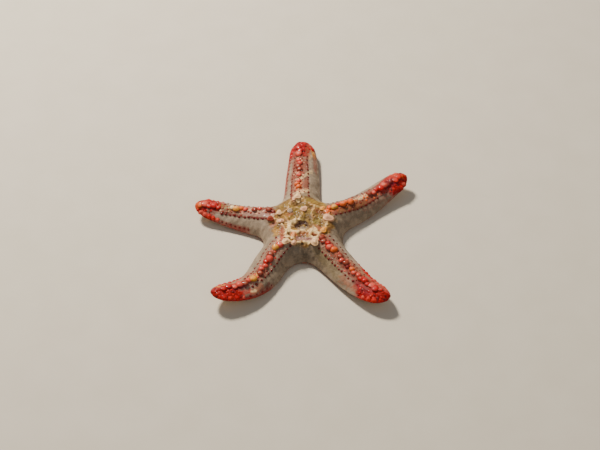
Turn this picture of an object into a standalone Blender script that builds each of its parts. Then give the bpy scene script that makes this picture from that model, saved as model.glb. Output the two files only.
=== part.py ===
"""Red-knobbed sea star at life size, lying mouth down with its arm tips curled up off the floor.

The body is one star-shaped form, parted by thin gaps into a disc, five arms and five arm tips.
A place on it is told by a station, the distance from the middle of the disc along an arm's ridge,
and by how far it lies from that ridge out to the arm's edge. Heights follow from the plan alone.
Units are metres and +Z is up. Arms are counted clockwise as seen from above.
"""

import math

import bmesh
import bpy
import numpy as np
from mathutils import Matrix, Vector

NAME = "red_knobbed_sea_star"

# ---- plan -----------------------------------------------------------------------------------
PARTING = 0.0003            # gap between solids that touch in life
WEB_RADIUS = 0.0385         # middle of the disc to the web between two arms
RIDGE_START = 0.0310        # station level with the webs, where an arm leaves the disc
DISC_END = 0.0400           # station of the gap between disc and arm
TIP_START = 0.745           # gap between arm and tip, as a share of the arm's reach
ROOT_HALF_WIDTH = 0.0172    # half the width that an arm would have at the middle of the disc
WIDTH_LOSS = 0.0073         # what is lost of it on the way to the tip
WIDTH_POWER = 2.2
GIRTH_PLACE = 0.60          # share of the reach from which an arm's own girth tells in full
END_LENGTH = 0.0150         # the stretch over which the tip rounds off
END_POWER = 2.1
ARMS = (
    # bearings in degrees at the places below, reach, lift of the tip, girth
    ((90.0, 89.6, 89.5, 90.6), 0.1080, 0.0080, 1.08),
    ((26.3, 28.7, 31.0, 31.2), 0.1150, 0.0110, 0.99),
    ((-51.5, -52.3, -51.9, -48.2), 0.1155, 0.0095, 1.03),
    ((-126.2, -122.8, -126.4, -134.2), 0.1155, 0.0112, 1.03),
    ((-194.3, -194.6, -194.7, -194.4), 0.1030, 0.0080, 0.97),
)
BEND_PLACES = (0.34, 0.60, 0.80, 1.00)   # shares of the reach; the arm is straight up to the first

# ---- heights --------------------------------------------------------------------------------
DISC_HEIGHT = 0.0195
TIP_HEIGHT = 0.0086
SLOPE_START = 0.0220        # station where the ridge begins to fall
SLOPE_END = 1.05            # share of the reach where it would be at tip height
SHOULDER = 2.0              # how flat the back is across
FLANK = 1.25                # how upright the sides are
EDGE_HEIGHT = 0.0033        # the widest line of the side above the underside
EDGE_TUCK = 0.0050          # width of the rounding below that line
LIFT_START = 0.50           # share of the reach where an arm leaves the floor
LIFT_POWER = 1.6
CROWN_DIP = 0.0010          # the middle of the disc is a little sunken
CROWN_DIP_RADIUS = 0.0170

# ---- mesh -----------------------------------------------------------------------------------
BACK_STEPS = 5              # quads from ridge to edge over the back
SOLE_STEPS = 4              # the same under the arm
ARM_STEP = 0.0065           # distance between stations along an arm
WEB_STEP = 0.0030           # the same round the webs
END_STEPS = 5               # rows of quads over the rounded end of an arm
OUTLINE_STEPS = 80          # points along each edge for measuring the distance to it
OUTLINE_SLACK = 0.0001      # a point this close to the outline counts as on it
BEARING_GRIP = 12.0         # how strictly a place takes the reach and lift of its own arm
SHARP_ANGLE = 40.0          # edges that turn more than this many degrees are shaded sharp

# ---- knobs ----------------------------------------------------------------------------------
RIDGE_KNOB = (0.0028, 0.0032)        # radius and height above the back
RIDGE_SPACING = 0.0086
TIP_SPACING = 0.0062
CROWN_KNOB = (0.0033, 0.0038)
CROWN_RADIUS = 0.0270
CROWN_SIDE_KNOB = (0.0024, 0.0028)
INNER_KNOB = (0.0022, 0.0022)
INNER_RADIUS = 0.0125
TIP_KNOB = (0.0023, 0.0030)
TIP_KNOB_OFFSET = 0.0053             # second row, beside the ridge
EDGE_KNOB = (0.0020, 0.0023)
EDGE_SPACING = 0.0056
EDGE_ROW_START = 0.62                # share of the reach where the row at the edge begins
EDGE_ROW_PLACE = 0.92                # where that row sits between ridge (0) and edge (1)
EDGE_ROW_MARGIN = 1.3                # its distance from both ends of the piece, in knob radii
KNOB_SEGMENTS = 5
KNOB_RINGS = 3

# ---- underside ------------------------------------------------------------------------------
GROOVE_HALF_WIDTH = 0.0030
GROOVE_DEPTH = 0.0046
GROOVE_TAPER = 0.45
GROOVE_START = 0.0066                # inside the mouth, where the furrows don't meet yet
GROOVE_END_MARGIN = 0.0050
GROOVE_STEPS = 10
GROOVE_PROFILE = ((-1.15, -0.3), (-0.85, 0.7), (0.0, 1.0), (0.85, 0.7), (1.15, -0.3))
MOUTH_RADIUS = 0.0078
MOUTH_DEPTH = 0.0040
HOLLOW_TAPER = 0.8                   # radius of the hollow's roof over that of its opening
MOUTH_TAPER = 0.7                    # radius of the mouth skin's top over the opening's
MOUTH_CLEARANCE = 0.0012             # the mouth skin stays above the floor by this
MADREPORITE_PLACE = (135.0, 0.0165)  # bearing and distance from the middle of the disc
MADREPORITE_RADIUS = 0.0032
MADREPORITE_TAPER = 0.7
MADREPORITE_RISE = 0.0008
MADREPORITE_POCKET = 0.0014

COLOURS = {
    "disc": ((0.62, 0.50, 0.42), 0.50),
    "arm": ((0.36, 0.31, 0.27), 0.45),
    "arm_tip": ((0.60, 0.06, 0.03), 0.35),
    "madreporite": ((0.78, 0.70, 0.60), 0.60),
    "mouth": ((0.70, 0.58, 0.46), 0.50),
}

ARM_COUNT = len(ARMS)


# ---- the plan of the star -------------------------------------------------------------------
def bend(bearings):
    """Weights of the second, third and fourth power that lead a ridge through its bearings."""
    start = BEND_PLACES[0]
    places = (np.array(BEND_PLACES[1:]) - start) / (1 - start)
    turns = np.array(bearings[1:]) - bearings[0]
    return np.linalg.solve(np.stack([places ** 2, places ** 3, places ** 4], axis=1), turns)


BENDS = [bend(arm[0]) for arm in ARMS]


def bearing(arm, station):
    """Direction from the middle of the disc to the ridge at a station, in radians."""
    bearings, reach = ARMS[arm][:2]
    start = BEND_PLACES[0] * reach
    along = max(0.0, (station - start) / (reach - start))
    return math.radians(bearings[0] + BENDS[arm] @ (along ** 2, along ** 3, along ** 4))


def ridge(arm, station):
    """A point of the ridge, seen from above."""
    angle = bearing(arm, station)
    return np.array([math.cos(angle), math.sin(angle)]) * station


def sideways(arm, station):
    """The level direction across an arm, to its left as seen from the disc."""
    step = 0.0005
    along = ridge(arm, station + step) - ridge(arm, max(0.0, station - step))
    along /= np.linalg.norm(along)
    return np.array([-along[1], along[0]])


def half_gap(arm, side):
    """Half the angle between an arm's root and its neighbour's. side is +1 for the left one."""
    own = ARMS[arm][0][0]
    other = ARMS[(arm - side) % ARM_COUNT][0][0]
    return math.radians(((other - own) * side) % 360) / 2


def plain_half_width(share, girth):
    """Half the width of an arm without its webs. Slimness comes in gradually along the arm."""
    slimming = 1 - (1 - girth) * np.clip(share / GIRTH_PLACE, 0, 1) ** 2
    return (ROOT_HALF_WIDTH - WIDTH_LOSS * share ** WIDTH_POWER) * slimming


def half_width(arm, side, station):
    """Half the width of an arm on one side, with the web that joins it to its neighbour."""
    reach, girth = ARMS[arm][1], ARMS[arm][3]
    gap = half_gap(arm, side)
    web_station = WEB_RADIUS * math.cos(gap)
    spread = WEB_RADIUS * math.sin(gap) - plain_half_width(web_station / reach, girth)
    fade = spread * math.tan(gap)
    into_end = max(0.0, 1 - (reach - station) / END_LENGTH)
    rounding = max(0.0, 1 - into_end ** END_POWER) ** (1 / END_POWER)
    web = spread * math.exp(-(station - web_station) / fade)
    return (plain_half_width(station / reach, girth) + web) * rounding


def edge(arm, side, station):
    """A point of the star's outline beyond the web."""
    return ridge(arm, station) + sideways(arm, station) * side * half_width(arm, side, station)


def web_direction(arm, side):
    angle = math.radians(ARMS[arm][0][0]) + side * half_gap(arm, side)
    return np.array([math.cos(angle), math.sin(angle)])


def outline():
    """The outline as one closed ring of points."""
    ring = []
    for arm in range(ARM_COUNT):
        reach = ARMS[arm][1]
        for side in (1, -1):
            start = WEB_RADIUS * math.cos(half_gap(arm, side))
            turns = np.linspace(0, math.pi / 2, OUTLINE_STEPS)
            stations = start + (reach - start) * np.sin(turns)
            points = [edge(arm, side, station) for station in stations]
            ring += points[:-1] if side == 1 else points[::-1]
    return np.array(ring)


OUTLINE = outline()


def inset(plan):
    """Distance of each point from the outline."""
    start = OUTLINE[None]
    run = (np.roll(OUTLINE, -1, axis=0) - OUTLINE)[None]
    away = plan[:, None] - start
    share = np.clip((away * run).sum(2) / np.maximum((run ** 2).sum(2), 1e-12), 0, 1)
    nearest = np.linalg.norm(away - share[..., None] * run, axis=2).min(axis=1)
    return np.maximum(0.0, nearest - OUTLINE_SLACK)


def own_arm(plan):
    """Reach, lift and girth at each point, taken from the arm whose bearing it is nearest."""
    angle = np.arctan2(plan[:, 1], plan[:, 0])
    roots = np.radians([arm[0][0] for arm in ARMS])
    grip = np.exp(BEARING_GRIP * (np.cos(angle[:, None] - roots) - 1))
    grip /= grip.sum(axis=1, keepdims=True)
    return (grip @ [arm[1:] for arm in ARMS]).T


def floor_lift(plan):
    reach, lift, _ = own_arm(plan)
    share = np.linalg.norm(plan, axis=1) / reach
    return lift * np.clip((share - LIFT_START) / (1 - LIFT_START), 0, 1) ** LIFT_POWER


def back_height(plan):
    """Height of the back over each point of the plan."""
    reach, _, girth = own_arm(plan)
    away = np.linalg.norm(plan, axis=1)
    fall = np.clip((away - SLOPE_START) / (reach * SLOPE_END - SLOPE_START), 0, 1)
    crest = TIP_HEIGHT + (DISC_HEIGHT - TIP_HEIGHT) * (1 + np.cos(math.pi * fall)) / 2
    crest = crest - CROWN_DIP * np.exp(-(away / CROWN_DIP_RADIUS) ** 4)
    width = plain_half_width(np.clip(away / reach, 0, 1), girth)
    inward = np.clip(inset(plan) / width, 0, 1)
    dome = (1 - (1 - inward) ** SHOULDER) ** (1 / FLANK)
    return floor_lift(plan) + EDGE_HEIGHT + (crest - EDGE_HEIGHT) * dome


def sole_height(plan):
    """Height of the underside, which is flat but for its rounded edge and the lifted tips."""
    tuck = np.clip(1 - inset(plan) / EDGE_TUCK, 0, 1)
    return floor_lift(plan) + EDGE_HEIGHT * (1 - np.sqrt(1 - tuck ** 2))


# ---- building blocks ------------------------------------------------------------------------
def across(steps, under):
    """Places from ridge (0) to edge (1), closest together where the form turns fastest."""
    even = np.linspace(0, 1, steps + 1)
    return even ** 0.7 if under else np.sin(even * math.pi / 2)


def cross_line(arm, side, station, places):
    """Plan points from the ridge out to the edge at a station beyond the web."""
    web_station = WEB_RADIUS * math.cos(half_gap(arm, side))
    slant = max(0.0, 1 - (station - RIDGE_START) / (DISC_END - PARTING - RIDGE_START))
    middle = ridge(arm, station)
    outer = edge(arm, side, station + (web_station - RIDGE_START) * slant)
    return [middle + (outer - middle) * place for place in places]


def web_patch(arm, places):
    """Plan points between an arm's ridge and its left neighbour's, as a square grid."""
    other = (arm - 1) % ARM_COUNT
    toward_web = web_direction(arm, 1) * WEB_RADIUS
    grid = []
    for own_place in places:
        row = []
        for other_place in places:
            outer, lead = max(own_place, other_place), arm if own_place >= other_place else other
            share = min(own_place, other_place) / outer if outer else 0.0
            row.append(ridge(lead, RIDGE_START * outer) * (1 - share) + toward_web * outer * share)
        grid.append(row)
    return grid


def add_grid(mesh, grid, height, under):
    """Adds a sheet of quads over a grid of plan points."""
    flat = np.array(grid).reshape(-1, 2)
    levels = height(flat)
    corners = [mesh.verts.new((*point, level)) for point, level in zip(flat, levels)]
    columns = len(grid[0])
    for row in range(len(grid) - 1):
        for column in range(columns - 1):
            first = row * columns + column
            loop = [first, first + columns, first + columns + 1, first + 1]
            if under:
                loop.reverse()
            mesh.faces.new([corners[index] for index in loop])


def arm_grid(arm, stations, places):
    """Plan points over an arm, from its right edge over the ridge to its left edge."""
    rows = []
    for station in stations:
        right = cross_line(arm, -1, station, places)
        left = cross_line(arm, 1, station, places)
        rows.append(right[:0:-1] + left)
    return rows


def spaced(first, last, step=ARM_STEP):
    """Stations an even step apart."""
    count = max(1, round((last - first) / step))
    return np.linspace(first, last, count + 1)


def close_body(name, mesh, material):
    """Welds the sheets, closes the flat ends and makes the object."""
    bmesh.ops.remove_doubles(mesh, verts=mesh.verts, dist=1e-6)
    bmesh.ops.dissolve_degenerate(mesh, edges=mesh.edges, dist=1e-6)
    open_edges = [one for one in mesh.edges if one.is_boundary]
    if open_edges:
        bmesh.ops.edgeloop_fill(mesh, edges=open_edges)
    bmesh.ops.recalc_face_normals(mesh, faces=mesh.faces)
    return place_object(name, mesh, material)


def place_object(name, mesh, material, collection="parts"):
    data = bpy.data.meshes.new(name)
    mesh.to_mesh(data)
    mesh.free()
    data.shade_smooth()
    data.set_sharp_from_angle(angle=math.radians(SHARP_ANGLE))
    made = bpy.data.objects.new(name, data)
    COLLECTIONS[collection].objects.link(made)
    if material:
        data.materials.append(material)
    else:
        made.hide_render = True
        made.display_type = "WIRE"
    return made


def paint(name):
    colour, roughness = COLOURS[name]
    material = bpy.data.materials.new(name)
    material.use_nodes = True
    shader = material.node_tree.nodes["Principled BSDF"]
    shader.inputs["Base Color"].default_value = (*colour, 1.0)
    shader.inputs["Roughness"].default_value = roughness
    shader.inputs["Metallic"].default_value = 0.0
    return material


def boolean(body, tool, operation):
    step = body.modifiers.new(tool.name, "BOOLEAN")
    step.operation = operation
    step.solver = "EXACT"
    step.object = tool


# ---- knobs ----------------------------------------------------------------------------------
def back_frame(plan):
    """A point of the back and the direction straight out of it."""
    step = 0.0008
    x, y = plan
    around = np.array([(x, y), (x + step, y), (x - step, y), (x, y + step), (x, y - step)])
    level = back_height(around)
    normal = Vector((level[2] - level[1], level[4] - level[3], 2 * step)).normalized()
    return Vector((x, y, level[0])), normal


def add_knob(mesh, plan, size):
    """A blunt, rounded knob that grows straight out of the back."""
    radius, height = size
    foot, normal = back_frame(plan)
    turn = normal.to_track_quat("Z", "X").to_matrix().to_4x4()
    shape = Matrix.Diagonal((radius, radius, height, 1.0))
    bmesh.ops.create_uvsphere(mesh, u_segments=KNOB_SEGMENTS, v_segments=KNOB_RINGS, radius=1.0,
                              matrix=Matrix.Translation(foot) @ turn @ shape)


def between(arm, side, station, place):
    """The plan point at a share of the way from ridge to edge."""
    return ridge(arm, station) + sideways(arm, station) * side * half_width(arm, side, station) * place


def ridge_knobs(arm):
    """Stations of the knobs along an arm's ridge, with each end of the arm between two."""
    count = round((tip_station(arm) - DISC_END) / RIDGE_SPACING)
    return [DISC_END + RIDGE_SPACING * (number + 0.5) for number in range(count)]


def tip_knobs(arm):
    """Stations of the closer-set knobs along the ridge of a tip."""
    first = tip_station(arm) + TIP_SPACING / 2
    count = int((ARMS[arm][1] - TIP_KNOB[0] - first) / TIP_SPACING) + 1
    return [first + TIP_SPACING * number for number in range(count)]


def edge_knobs(first, last):
    """Stations of the knobs at the edge, kept clear of both ends of the piece."""
    room = last - first - 2 * EDGE_KNOB[0]
    count = max(2, int(room / EDGE_SPACING) + 1)
    margin = EDGE_KNOB[0] * EDGE_ROW_MARGIN
    return np.linspace(first + margin, last - margin, count)


def tip_station(arm):
    """The gap between arm and tip, midway between two ridge knobs."""
    steps = round((TIP_START * ARMS[arm][1] - DISC_END) / RIDGE_SPACING)
    return DISC_END + steps * RIDGE_SPACING


def grow(body, mesh):
    """Joins a set of knobs to the solid that they grow from."""
    tool = place_object(body.name + "_knobs", mesh, None, "cutters")
    boolean(body, tool, "UNION")


# ---- underside ------------------------------------------------------------------------------
def groove_cutter(arm):
    """The furrow under an arm, from the mouth to short of the tip."""
    reach = ARMS[arm][1]
    stations = np.linspace(GROOVE_START, reach - GROOVE_END_MARGIN, GROOVE_STEPS)
    mesh = bmesh.new()
    previous = None
    for station in stations:
        size = 1 - GROOVE_TAPER * station / reach
        middle, side = ridge(arm, station), sideways(arm, station)
        base = floor_lift(middle[None])[0]
        wide, deep = GROOVE_HALF_WIDTH * size, GROOVE_DEPTH * size
        loop = []
        for out, up in GROOVE_PROFILE:
            x, y = middle + side * out * wide
            loop.append(mesh.verts.new((x, y, base + up * deep)))
        if previous:
            for index in range(len(loop)):
                after = (index + 1) % len(loop)
                mesh.faces.new((previous[index], previous[after], loop[after], loop[index]))
        else:
            mesh.faces.new(loop[::-1])
        previous = loop
    mesh.faces.new(previous)
    bmesh.ops.recalc_face_normals(mesh, faces=mesh.faces)
    return place_object(f"groove_{arm + 1}", mesh, None, "cutters")


def round_block(name, radius, top_radius, low, high, place, material=None, sides=20):
    """A short round block on a vertical axis."""
    mesh = bmesh.new()
    centre = Matrix.Translation((*place, (low + high) / 2))
    bmesh.ops.create_cone(mesh, cap_ends=True, segments=sides, radius1=radius, radius2=top_radius,
                          depth=high - low, matrix=centre)
    return place_object(name, mesh, material, "parts" if material else "cutters")


# ---- the pieces -----------------------------------------------------------------------------
def make_disc(grooves):
    mesh = bmesh.new()
    stations = spaced(RIDGE_START, DISC_END - PARTING / 2, WEB_STEP)
    for steps, height, under in ((BACK_STEPS, back_height, False), (SOLE_STEPS, sole_height, True)):
        places = across(steps, under)
        for arm in range(ARM_COUNT):
            add_grid(mesh, web_patch(arm, places), height, under)
            add_grid(mesh, arm_grid(arm, stations, places), height, under)
    disc = close_body("disc", mesh, paint("disc"))

    knobs = bmesh.new()
    for arm in range(ARM_COUNT):
        add_knob(knobs, ridge(arm, CROWN_RADIUS), CROWN_KNOB)
        add_knob(knobs, ridge(arm, DISC_END - RIDGE_SPACING / 2), RIDGE_KNOB)
        add_knob(knobs, ridge(arm, INNER_RADIUS), INNER_KNOB)
        first, second = ridge(arm, CROWN_RADIUS), ridge((arm - 1) % ARM_COUNT, CROWN_RADIUS)
        bulge = web_direction(arm, 1) * RIDGE_KNOB[0]
        for share in (1 / 3, 2 / 3):
            add_knob(knobs, first + (second - first) * share + bulge, CROWN_SIDE_KNOB)
    grow(disc, knobs)

    for groove in grooves:
        boolean(disc, groove, "DIFFERENCE")
    hollow = round_block("mouth_hollow", MOUTH_RADIUS, MOUTH_RADIUS * HOLLOW_TAPER, -PARTING,
                         MOUTH_DEPTH, (0, 0))
    boolean(disc, hollow, "DIFFERENCE")
    pocket_place = madreporite_plan()
    level = back_height(pocket_place[None])[0]
    pocket = round_block("madreporite_pocket", MADREPORITE_RADIUS + PARTING,
                         MADREPORITE_RADIUS + PARTING, level - MADREPORITE_POCKET,
                         level + MADREPORITE_POCKET, pocket_place)
    boolean(disc, pocket, "DIFFERENCE")
    return disc


def madreporite_plan():
    angle, away = math.radians(MADREPORITE_PLACE[0]), MADREPORITE_PLACE[1]
    return np.array([math.cos(angle), math.sin(angle)]) * away


def make_arm(arm, groove):
    last = tip_station(arm) - PARTING / 2
    first = DISC_END + PARTING / 2
    mesh = bmesh.new()
    stations = spaced(first, last)
    for steps, height, under in ((BACK_STEPS, back_height, False), (SOLE_STEPS, sole_height, True)):
        add_grid(mesh, arm_grid(arm, stations, across(steps, under)), height, under)
    body = close_body(f"arm_{arm + 1}", mesh, paint("arm"))

    knobs = bmesh.new()
    for station in ridge_knobs(arm):
        add_knob(knobs, ridge(arm, station), RIDGE_KNOB)
    for station in edge_knobs(EDGE_ROW_START * ARMS[arm][1], last):
        for side in (-1, 1):
            add_knob(knobs, between(arm, side, station, EDGE_ROW_PLACE), EDGE_KNOB)
    grow(body, knobs)
    boolean(body, groove, "DIFFERENCE")
    return body


def make_tip(arm, groove):
    first, reach = tip_station(arm) + PARTING / 2, ARMS[arm][1]
    rounded = reach - END_LENGTH
    turns = np.linspace(0, math.pi / 2, END_STEPS + 1)[1:]
    stations = [*spaced(first, rounded), *(rounded + END_LENGTH * np.sin(turns))]
    mesh = bmesh.new()
    for steps, height, under in ((BACK_STEPS, back_height, False), (SOLE_STEPS, sole_height, True)):
        add_grid(mesh, arm_grid(arm, stations, across(steps, under)), height, under)
    body = close_body(f"arm_tip_{arm + 1}", mesh, paint("arm_tip"))

    knobs = bmesh.new()
    for station in tip_knobs(arm):
        add_knob(knobs, ridge(arm, station), TIP_KNOB)
        beside = station + TIP_SPACING / 2
        if beside < rounded + END_LENGTH / 3:
            for side in (-1, 1):
                place = TIP_KNOB_OFFSET / half_width(arm, side, beside)
                add_knob(knobs, between(arm, side, beside, place), TIP_KNOB)
    for station in edge_knobs(first, reach - END_LENGTH / 4):
        for side in (-1, 1):
            add_knob(knobs, between(arm, side, station, EDGE_ROW_PLACE), EDGE_KNOB)
    grow(body, knobs)
    boolean(body, groove, "DIFFERENCE")
    return body


def make_madreporite():
    """The small sieve plate on the back, set in a shallow pocket."""
    place = madreporite_plan()
    level = back_height(place[None])[0]
    return round_block("madreporite", MADREPORITE_RADIUS, MADREPORITE_RADIUS * MADREPORITE_TAPER,
                       level - MADREPORITE_POCKET + PARTING, level + MADREPORITE_RISE, place,
                       paint("madreporite"))


def make_mouth():
    """The skin round the mouth, set up off the floor in the middle of the underside."""
    return round_block("mouth", MOUTH_RADIUS * HOLLOW_TAPER - PARTING, MOUTH_RADIUS * MOUTH_TAPER,
                       MOUTH_CLEARANCE, MOUTH_DEPTH - PARTING, (0, 0), paint("mouth"))


def stand_on_origin(pieces):
    """Moves everything so that the origin is under the middle of the whole."""
    bpy.context.view_layer.update()
    depsgraph = bpy.context.evaluated_depsgraph_get()
    corners = []
    for piece in pieces:
        whole = piece.evaluated_get(depsgraph)
        corners += [whole.matrix_world @ Vector(corner) for corner in whole.bound_box]
    low = [min(corner[axis] for corner in corners) for axis in range(3)]
    high = [max(corner[axis] for corner in corners) for axis in range(3)]
    shift = Vector((-(low[0] + high[0]) / 2, -(low[1] + high[1]) / 2, -low[2]))
    for item in bpy.data.objects:
        item.location += shift


for old in list(bpy.data.objects):
    bpy.data.objects.remove(old)
COLLECTIONS = {}
for key, title in (("parts", NAME), ("cutters", NAME + "_cutters")):
    COLLECTIONS[key] = bpy.data.collections.new(title)
    bpy.context.scene.collection.children.link(COLLECTIONS[key])

GROOVES = [groove_cutter(arm) for arm in range(ARM_COUNT)]
PIECES = [make_disc(GROOVES), make_madreporite(), make_mouth()]
for number in range(ARM_COUNT):
    PIECES += [make_arm(number, GROOVES[number]), make_tip(number, GROOVES[number])]
stand_on_origin(PIECES)
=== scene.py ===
"""Looks of the red-knobbed sea star: skin, knobs and underside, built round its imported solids.

Places are told as in the solids: by an arm, a station (the distance from the middle of the disc
along the arm's ridge) and a sideways distance from the ridge, positive to the left as seen from
the disc. Plan coordinates start in the middle of the disc. Units are metres and +Z is up.
"""

import math

import bmesh
import bpy
import numpy as np
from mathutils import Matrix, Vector


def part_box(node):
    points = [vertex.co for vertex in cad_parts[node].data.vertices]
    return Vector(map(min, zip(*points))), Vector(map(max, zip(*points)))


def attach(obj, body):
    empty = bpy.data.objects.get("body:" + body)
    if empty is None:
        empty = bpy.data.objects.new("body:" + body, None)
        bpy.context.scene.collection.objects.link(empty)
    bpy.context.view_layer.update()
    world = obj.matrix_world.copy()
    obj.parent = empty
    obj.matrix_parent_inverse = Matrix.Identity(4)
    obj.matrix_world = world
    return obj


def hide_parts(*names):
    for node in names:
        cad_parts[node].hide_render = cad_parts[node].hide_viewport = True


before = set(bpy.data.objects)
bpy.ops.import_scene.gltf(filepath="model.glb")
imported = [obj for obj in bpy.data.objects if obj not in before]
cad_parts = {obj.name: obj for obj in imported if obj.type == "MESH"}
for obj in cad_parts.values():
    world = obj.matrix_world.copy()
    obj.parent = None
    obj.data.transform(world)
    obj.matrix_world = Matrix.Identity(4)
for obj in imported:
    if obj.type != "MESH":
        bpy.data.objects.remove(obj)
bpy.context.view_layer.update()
BODY = "root"
low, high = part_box("mouth")
MIDDLE = np.array([(low[0] + high[0]) / 2, (low[1] + high[1]) / 2, 0.0])
RANDOM = np.random.default_rng(11)

# ---- form, as in the solids -----------------------------------------------------------------
WEB_RADIUS = 0.0385         # middle of the disc to the web between two arms
RIDGE_START = 0.0310        # station level with the webs, where an arm leaves the disc
DISC_END = 0.0400           # station where cross lines have swung square to the arm
ROOT_HALF_WIDTH = 0.0172    # half the width that an arm would have at the middle of the disc
WIDTH_LOSS = 0.0073         # what is lost of it on the way to the tip
WIDTH_POWER = 2.2
GIRTH_PLACE = 0.60          # share of the reach from which an arm's own girth tells in full
END_LENGTH = 0.0150         # the stretch over which the tip rounds off
END_POWER = 2.1
ARMS = (
    # bearings in degrees at the places below, reach, lift of the tip, girth
    ((90.0, 89.6, 89.5, 90.6), 0.1080, 0.0080, 1.08),
    ((26.3, 28.7, 31.0, 31.2), 0.1150, 0.0110, 0.99),
    ((-51.5, -52.3, -51.9, -48.2), 0.1155, 0.0095, 1.03),
    ((-126.2, -122.8, -126.4, -134.2), 0.1155, 0.0112, 1.03),
    ((-194.3, -194.6, -194.7, -194.4), 0.1030, 0.0080, 0.97),
)
BEND_PLACES = (0.34, 0.60, 0.80, 1.00)   # shares of the reach; the arm is straight up to the first
DISC_HEIGHT = 0.0195
TIP_HEIGHT = 0.0086
SLOPE_START = 0.0220        # station where the ridge begins to fall
SLOPE_END = 1.05            # share of the reach where it would be at tip height
SHOULDER = 2.0              # how flat the back is across
FLANK = 1.25                # how upright the sides are
EDGE_HEIGHT = 0.0033        # the widest line of the side above the underside
EDGE_TUCK = 0.0050          # width of the rounding below that line
LIFT_START = 0.50           # share of the reach where an arm leaves the floor
LIFT_POWER = 1.6
CROWN_DIP = 0.0010          # the middle of the disc is a little sunken
CROWN_DIP_RADIUS = 0.0170
OUTLINE_STEPS = 64          # points along each edge for measuring the distance to it
OUTLINE_SLACK = 0.0001      # a point this close to the outline counts as on it
BEARING_GRIP = 12.0         # how strictly a place takes the reach and lift of its own arm
SIDE_STEP = 0.0005          # distance over which the direction of a ridge is measured
GROOVE_HALF_WIDTH = 0.0030
GROOVE_DEPTH = 0.0046
GROOVE_TAPER = 0.45
GROOVE_END_MARGIN = 0.0050
GROOVE_ENDING = 0.006       # stretch over which a furrow runs out
GROOVE_ROOF = (3, 0.6)      # powers that round the roof of a furrow
GROOVE_FILL = 0.92          # the skin leaves this share of a furrow's depth open
MOUTH_RADIUS = 0.0078
MOUTH_DEPTH = 0.0040
MOUTH_RIM = (0.98, 0.3)     # shares of the radius where the mouth begins and how far it slopes
ARM_COUNT = len(ARMS)
REACH = np.array([arm[1] for arm in ARMS])
AT_ONCE = 1500              # points measured against the outline in one go


def bend(bearings):
    """Weights of the second, third and fourth power that lead a ridge through its bearings."""
    start = BEND_PLACES[0]
    places = (np.array(BEND_PLACES[1:]) - start) / (1 - start)
    turns = np.array(bearings[1:]) - bearings[0]
    return np.linalg.solve(np.stack([places ** 2, places ** 3, places ** 4], axis=1), turns)


BENDS = [bend(arm[0]) for arm in ARMS]


def bearing(arm, station):
    """Direction from the middle of the disc to the ridge at each station, in radians."""
    bearings, reach = ARMS[arm][:2]
    start = BEND_PLACES[0] * reach
    along = np.clip((np.asarray(station) - start) / (reach - start), 0, 1)
    powers = np.stack([along ** 2, along ** 3, along ** 4], axis=-1)
    return np.radians(bearings[0] + powers @ BENDS[arm])


def ridge(arm, station):
    """A point of the ridge, seen from above."""
    angle = bearing(arm, station)
    return np.stack([np.cos(angle), np.sin(angle)], axis=-1) * np.asarray(station)[..., None]


def sideways(arm, station):
    """The level direction across an arm, to its left as seen from the disc."""
    station = np.asarray(station)
    along = ridge(arm, station + SIDE_STEP) - ridge(arm, np.maximum(0.0, station - SIDE_STEP))
    along /= np.linalg.norm(along, axis=-1, keepdims=True)
    return np.stack([-along[..., 1], along[..., 0]], axis=-1)


def half_gap(arm, side):
    """Half the angle between an arm's root and its neighbour's. side is +1 for the left one."""
    own = ARMS[arm][0][0]
    other = ARMS[(arm - side) % ARM_COUNT][0][0]
    return math.radians(((other - own) * side) % 360) / 2


def plain_half_width(share, girth):
    """Half the width of an arm without webs, at a share of its reach."""
    slimming = 1 - (1 - girth) * np.clip(share / GIRTH_PLACE, 0, 1) ** 2
    return (ROOT_HALF_WIDTH - WIDTH_LOSS * share ** WIDTH_POWER) * slimming


def half_width(arm, side, station):
    """Half the width of an arm on one side, with the web that joins it to its neighbour."""
    reach, girth = ARMS[arm][1], ARMS[arm][3]
    gap = half_gap(arm, side)
    web_station = WEB_RADIUS * math.cos(gap)
    spread = WEB_RADIUS * math.sin(gap) - plain_half_width(web_station / reach, girth)
    fade = spread * math.tan(gap)
    station = np.asarray(station)
    into_end = np.clip(1 - (reach - station) / END_LENGTH, 0, 1)
    rounding = np.maximum(0.0, 1 - into_end ** END_POWER) ** (1 / END_POWER)
    web = spread * np.exp(-(station - web_station) / fade)
    return (plain_half_width(station / reach, girth) + web) * rounding


def edge(arm, side, station):
    """A point of the star's outline beyond the web."""
    return beside(arm, station, side * half_width(arm, side, station))


def beside(arm, station, out):
    """The plan point at a sideways distance from the ridge."""
    return ridge(arm, station) + sideways(arm, station) * np.asarray(out)[..., None]


def web_direction(arm, side):
    """Direction from the middle of the disc to the web on that side of an arm."""
    angle = math.radians(ARMS[arm][0][0]) + side * half_gap(arm, side)
    return np.array([math.cos(angle), math.sin(angle)])


def outline():
    """The star's outline as a closed ring of points."""
    ring = []
    turns = np.linspace(0, math.pi / 2, OUTLINE_STEPS)
    for arm in range(ARM_COUNT):
        for side in (1, -1):
            start = WEB_RADIUS * math.cos(half_gap(arm, side))
            points = edge(arm, side, start + (REACH[arm] - start) * np.sin(turns))
            ring.append(points[:-1] if side == 1 else points[::-1])
    return np.concatenate(ring)


OUTLINE = outline()


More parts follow.
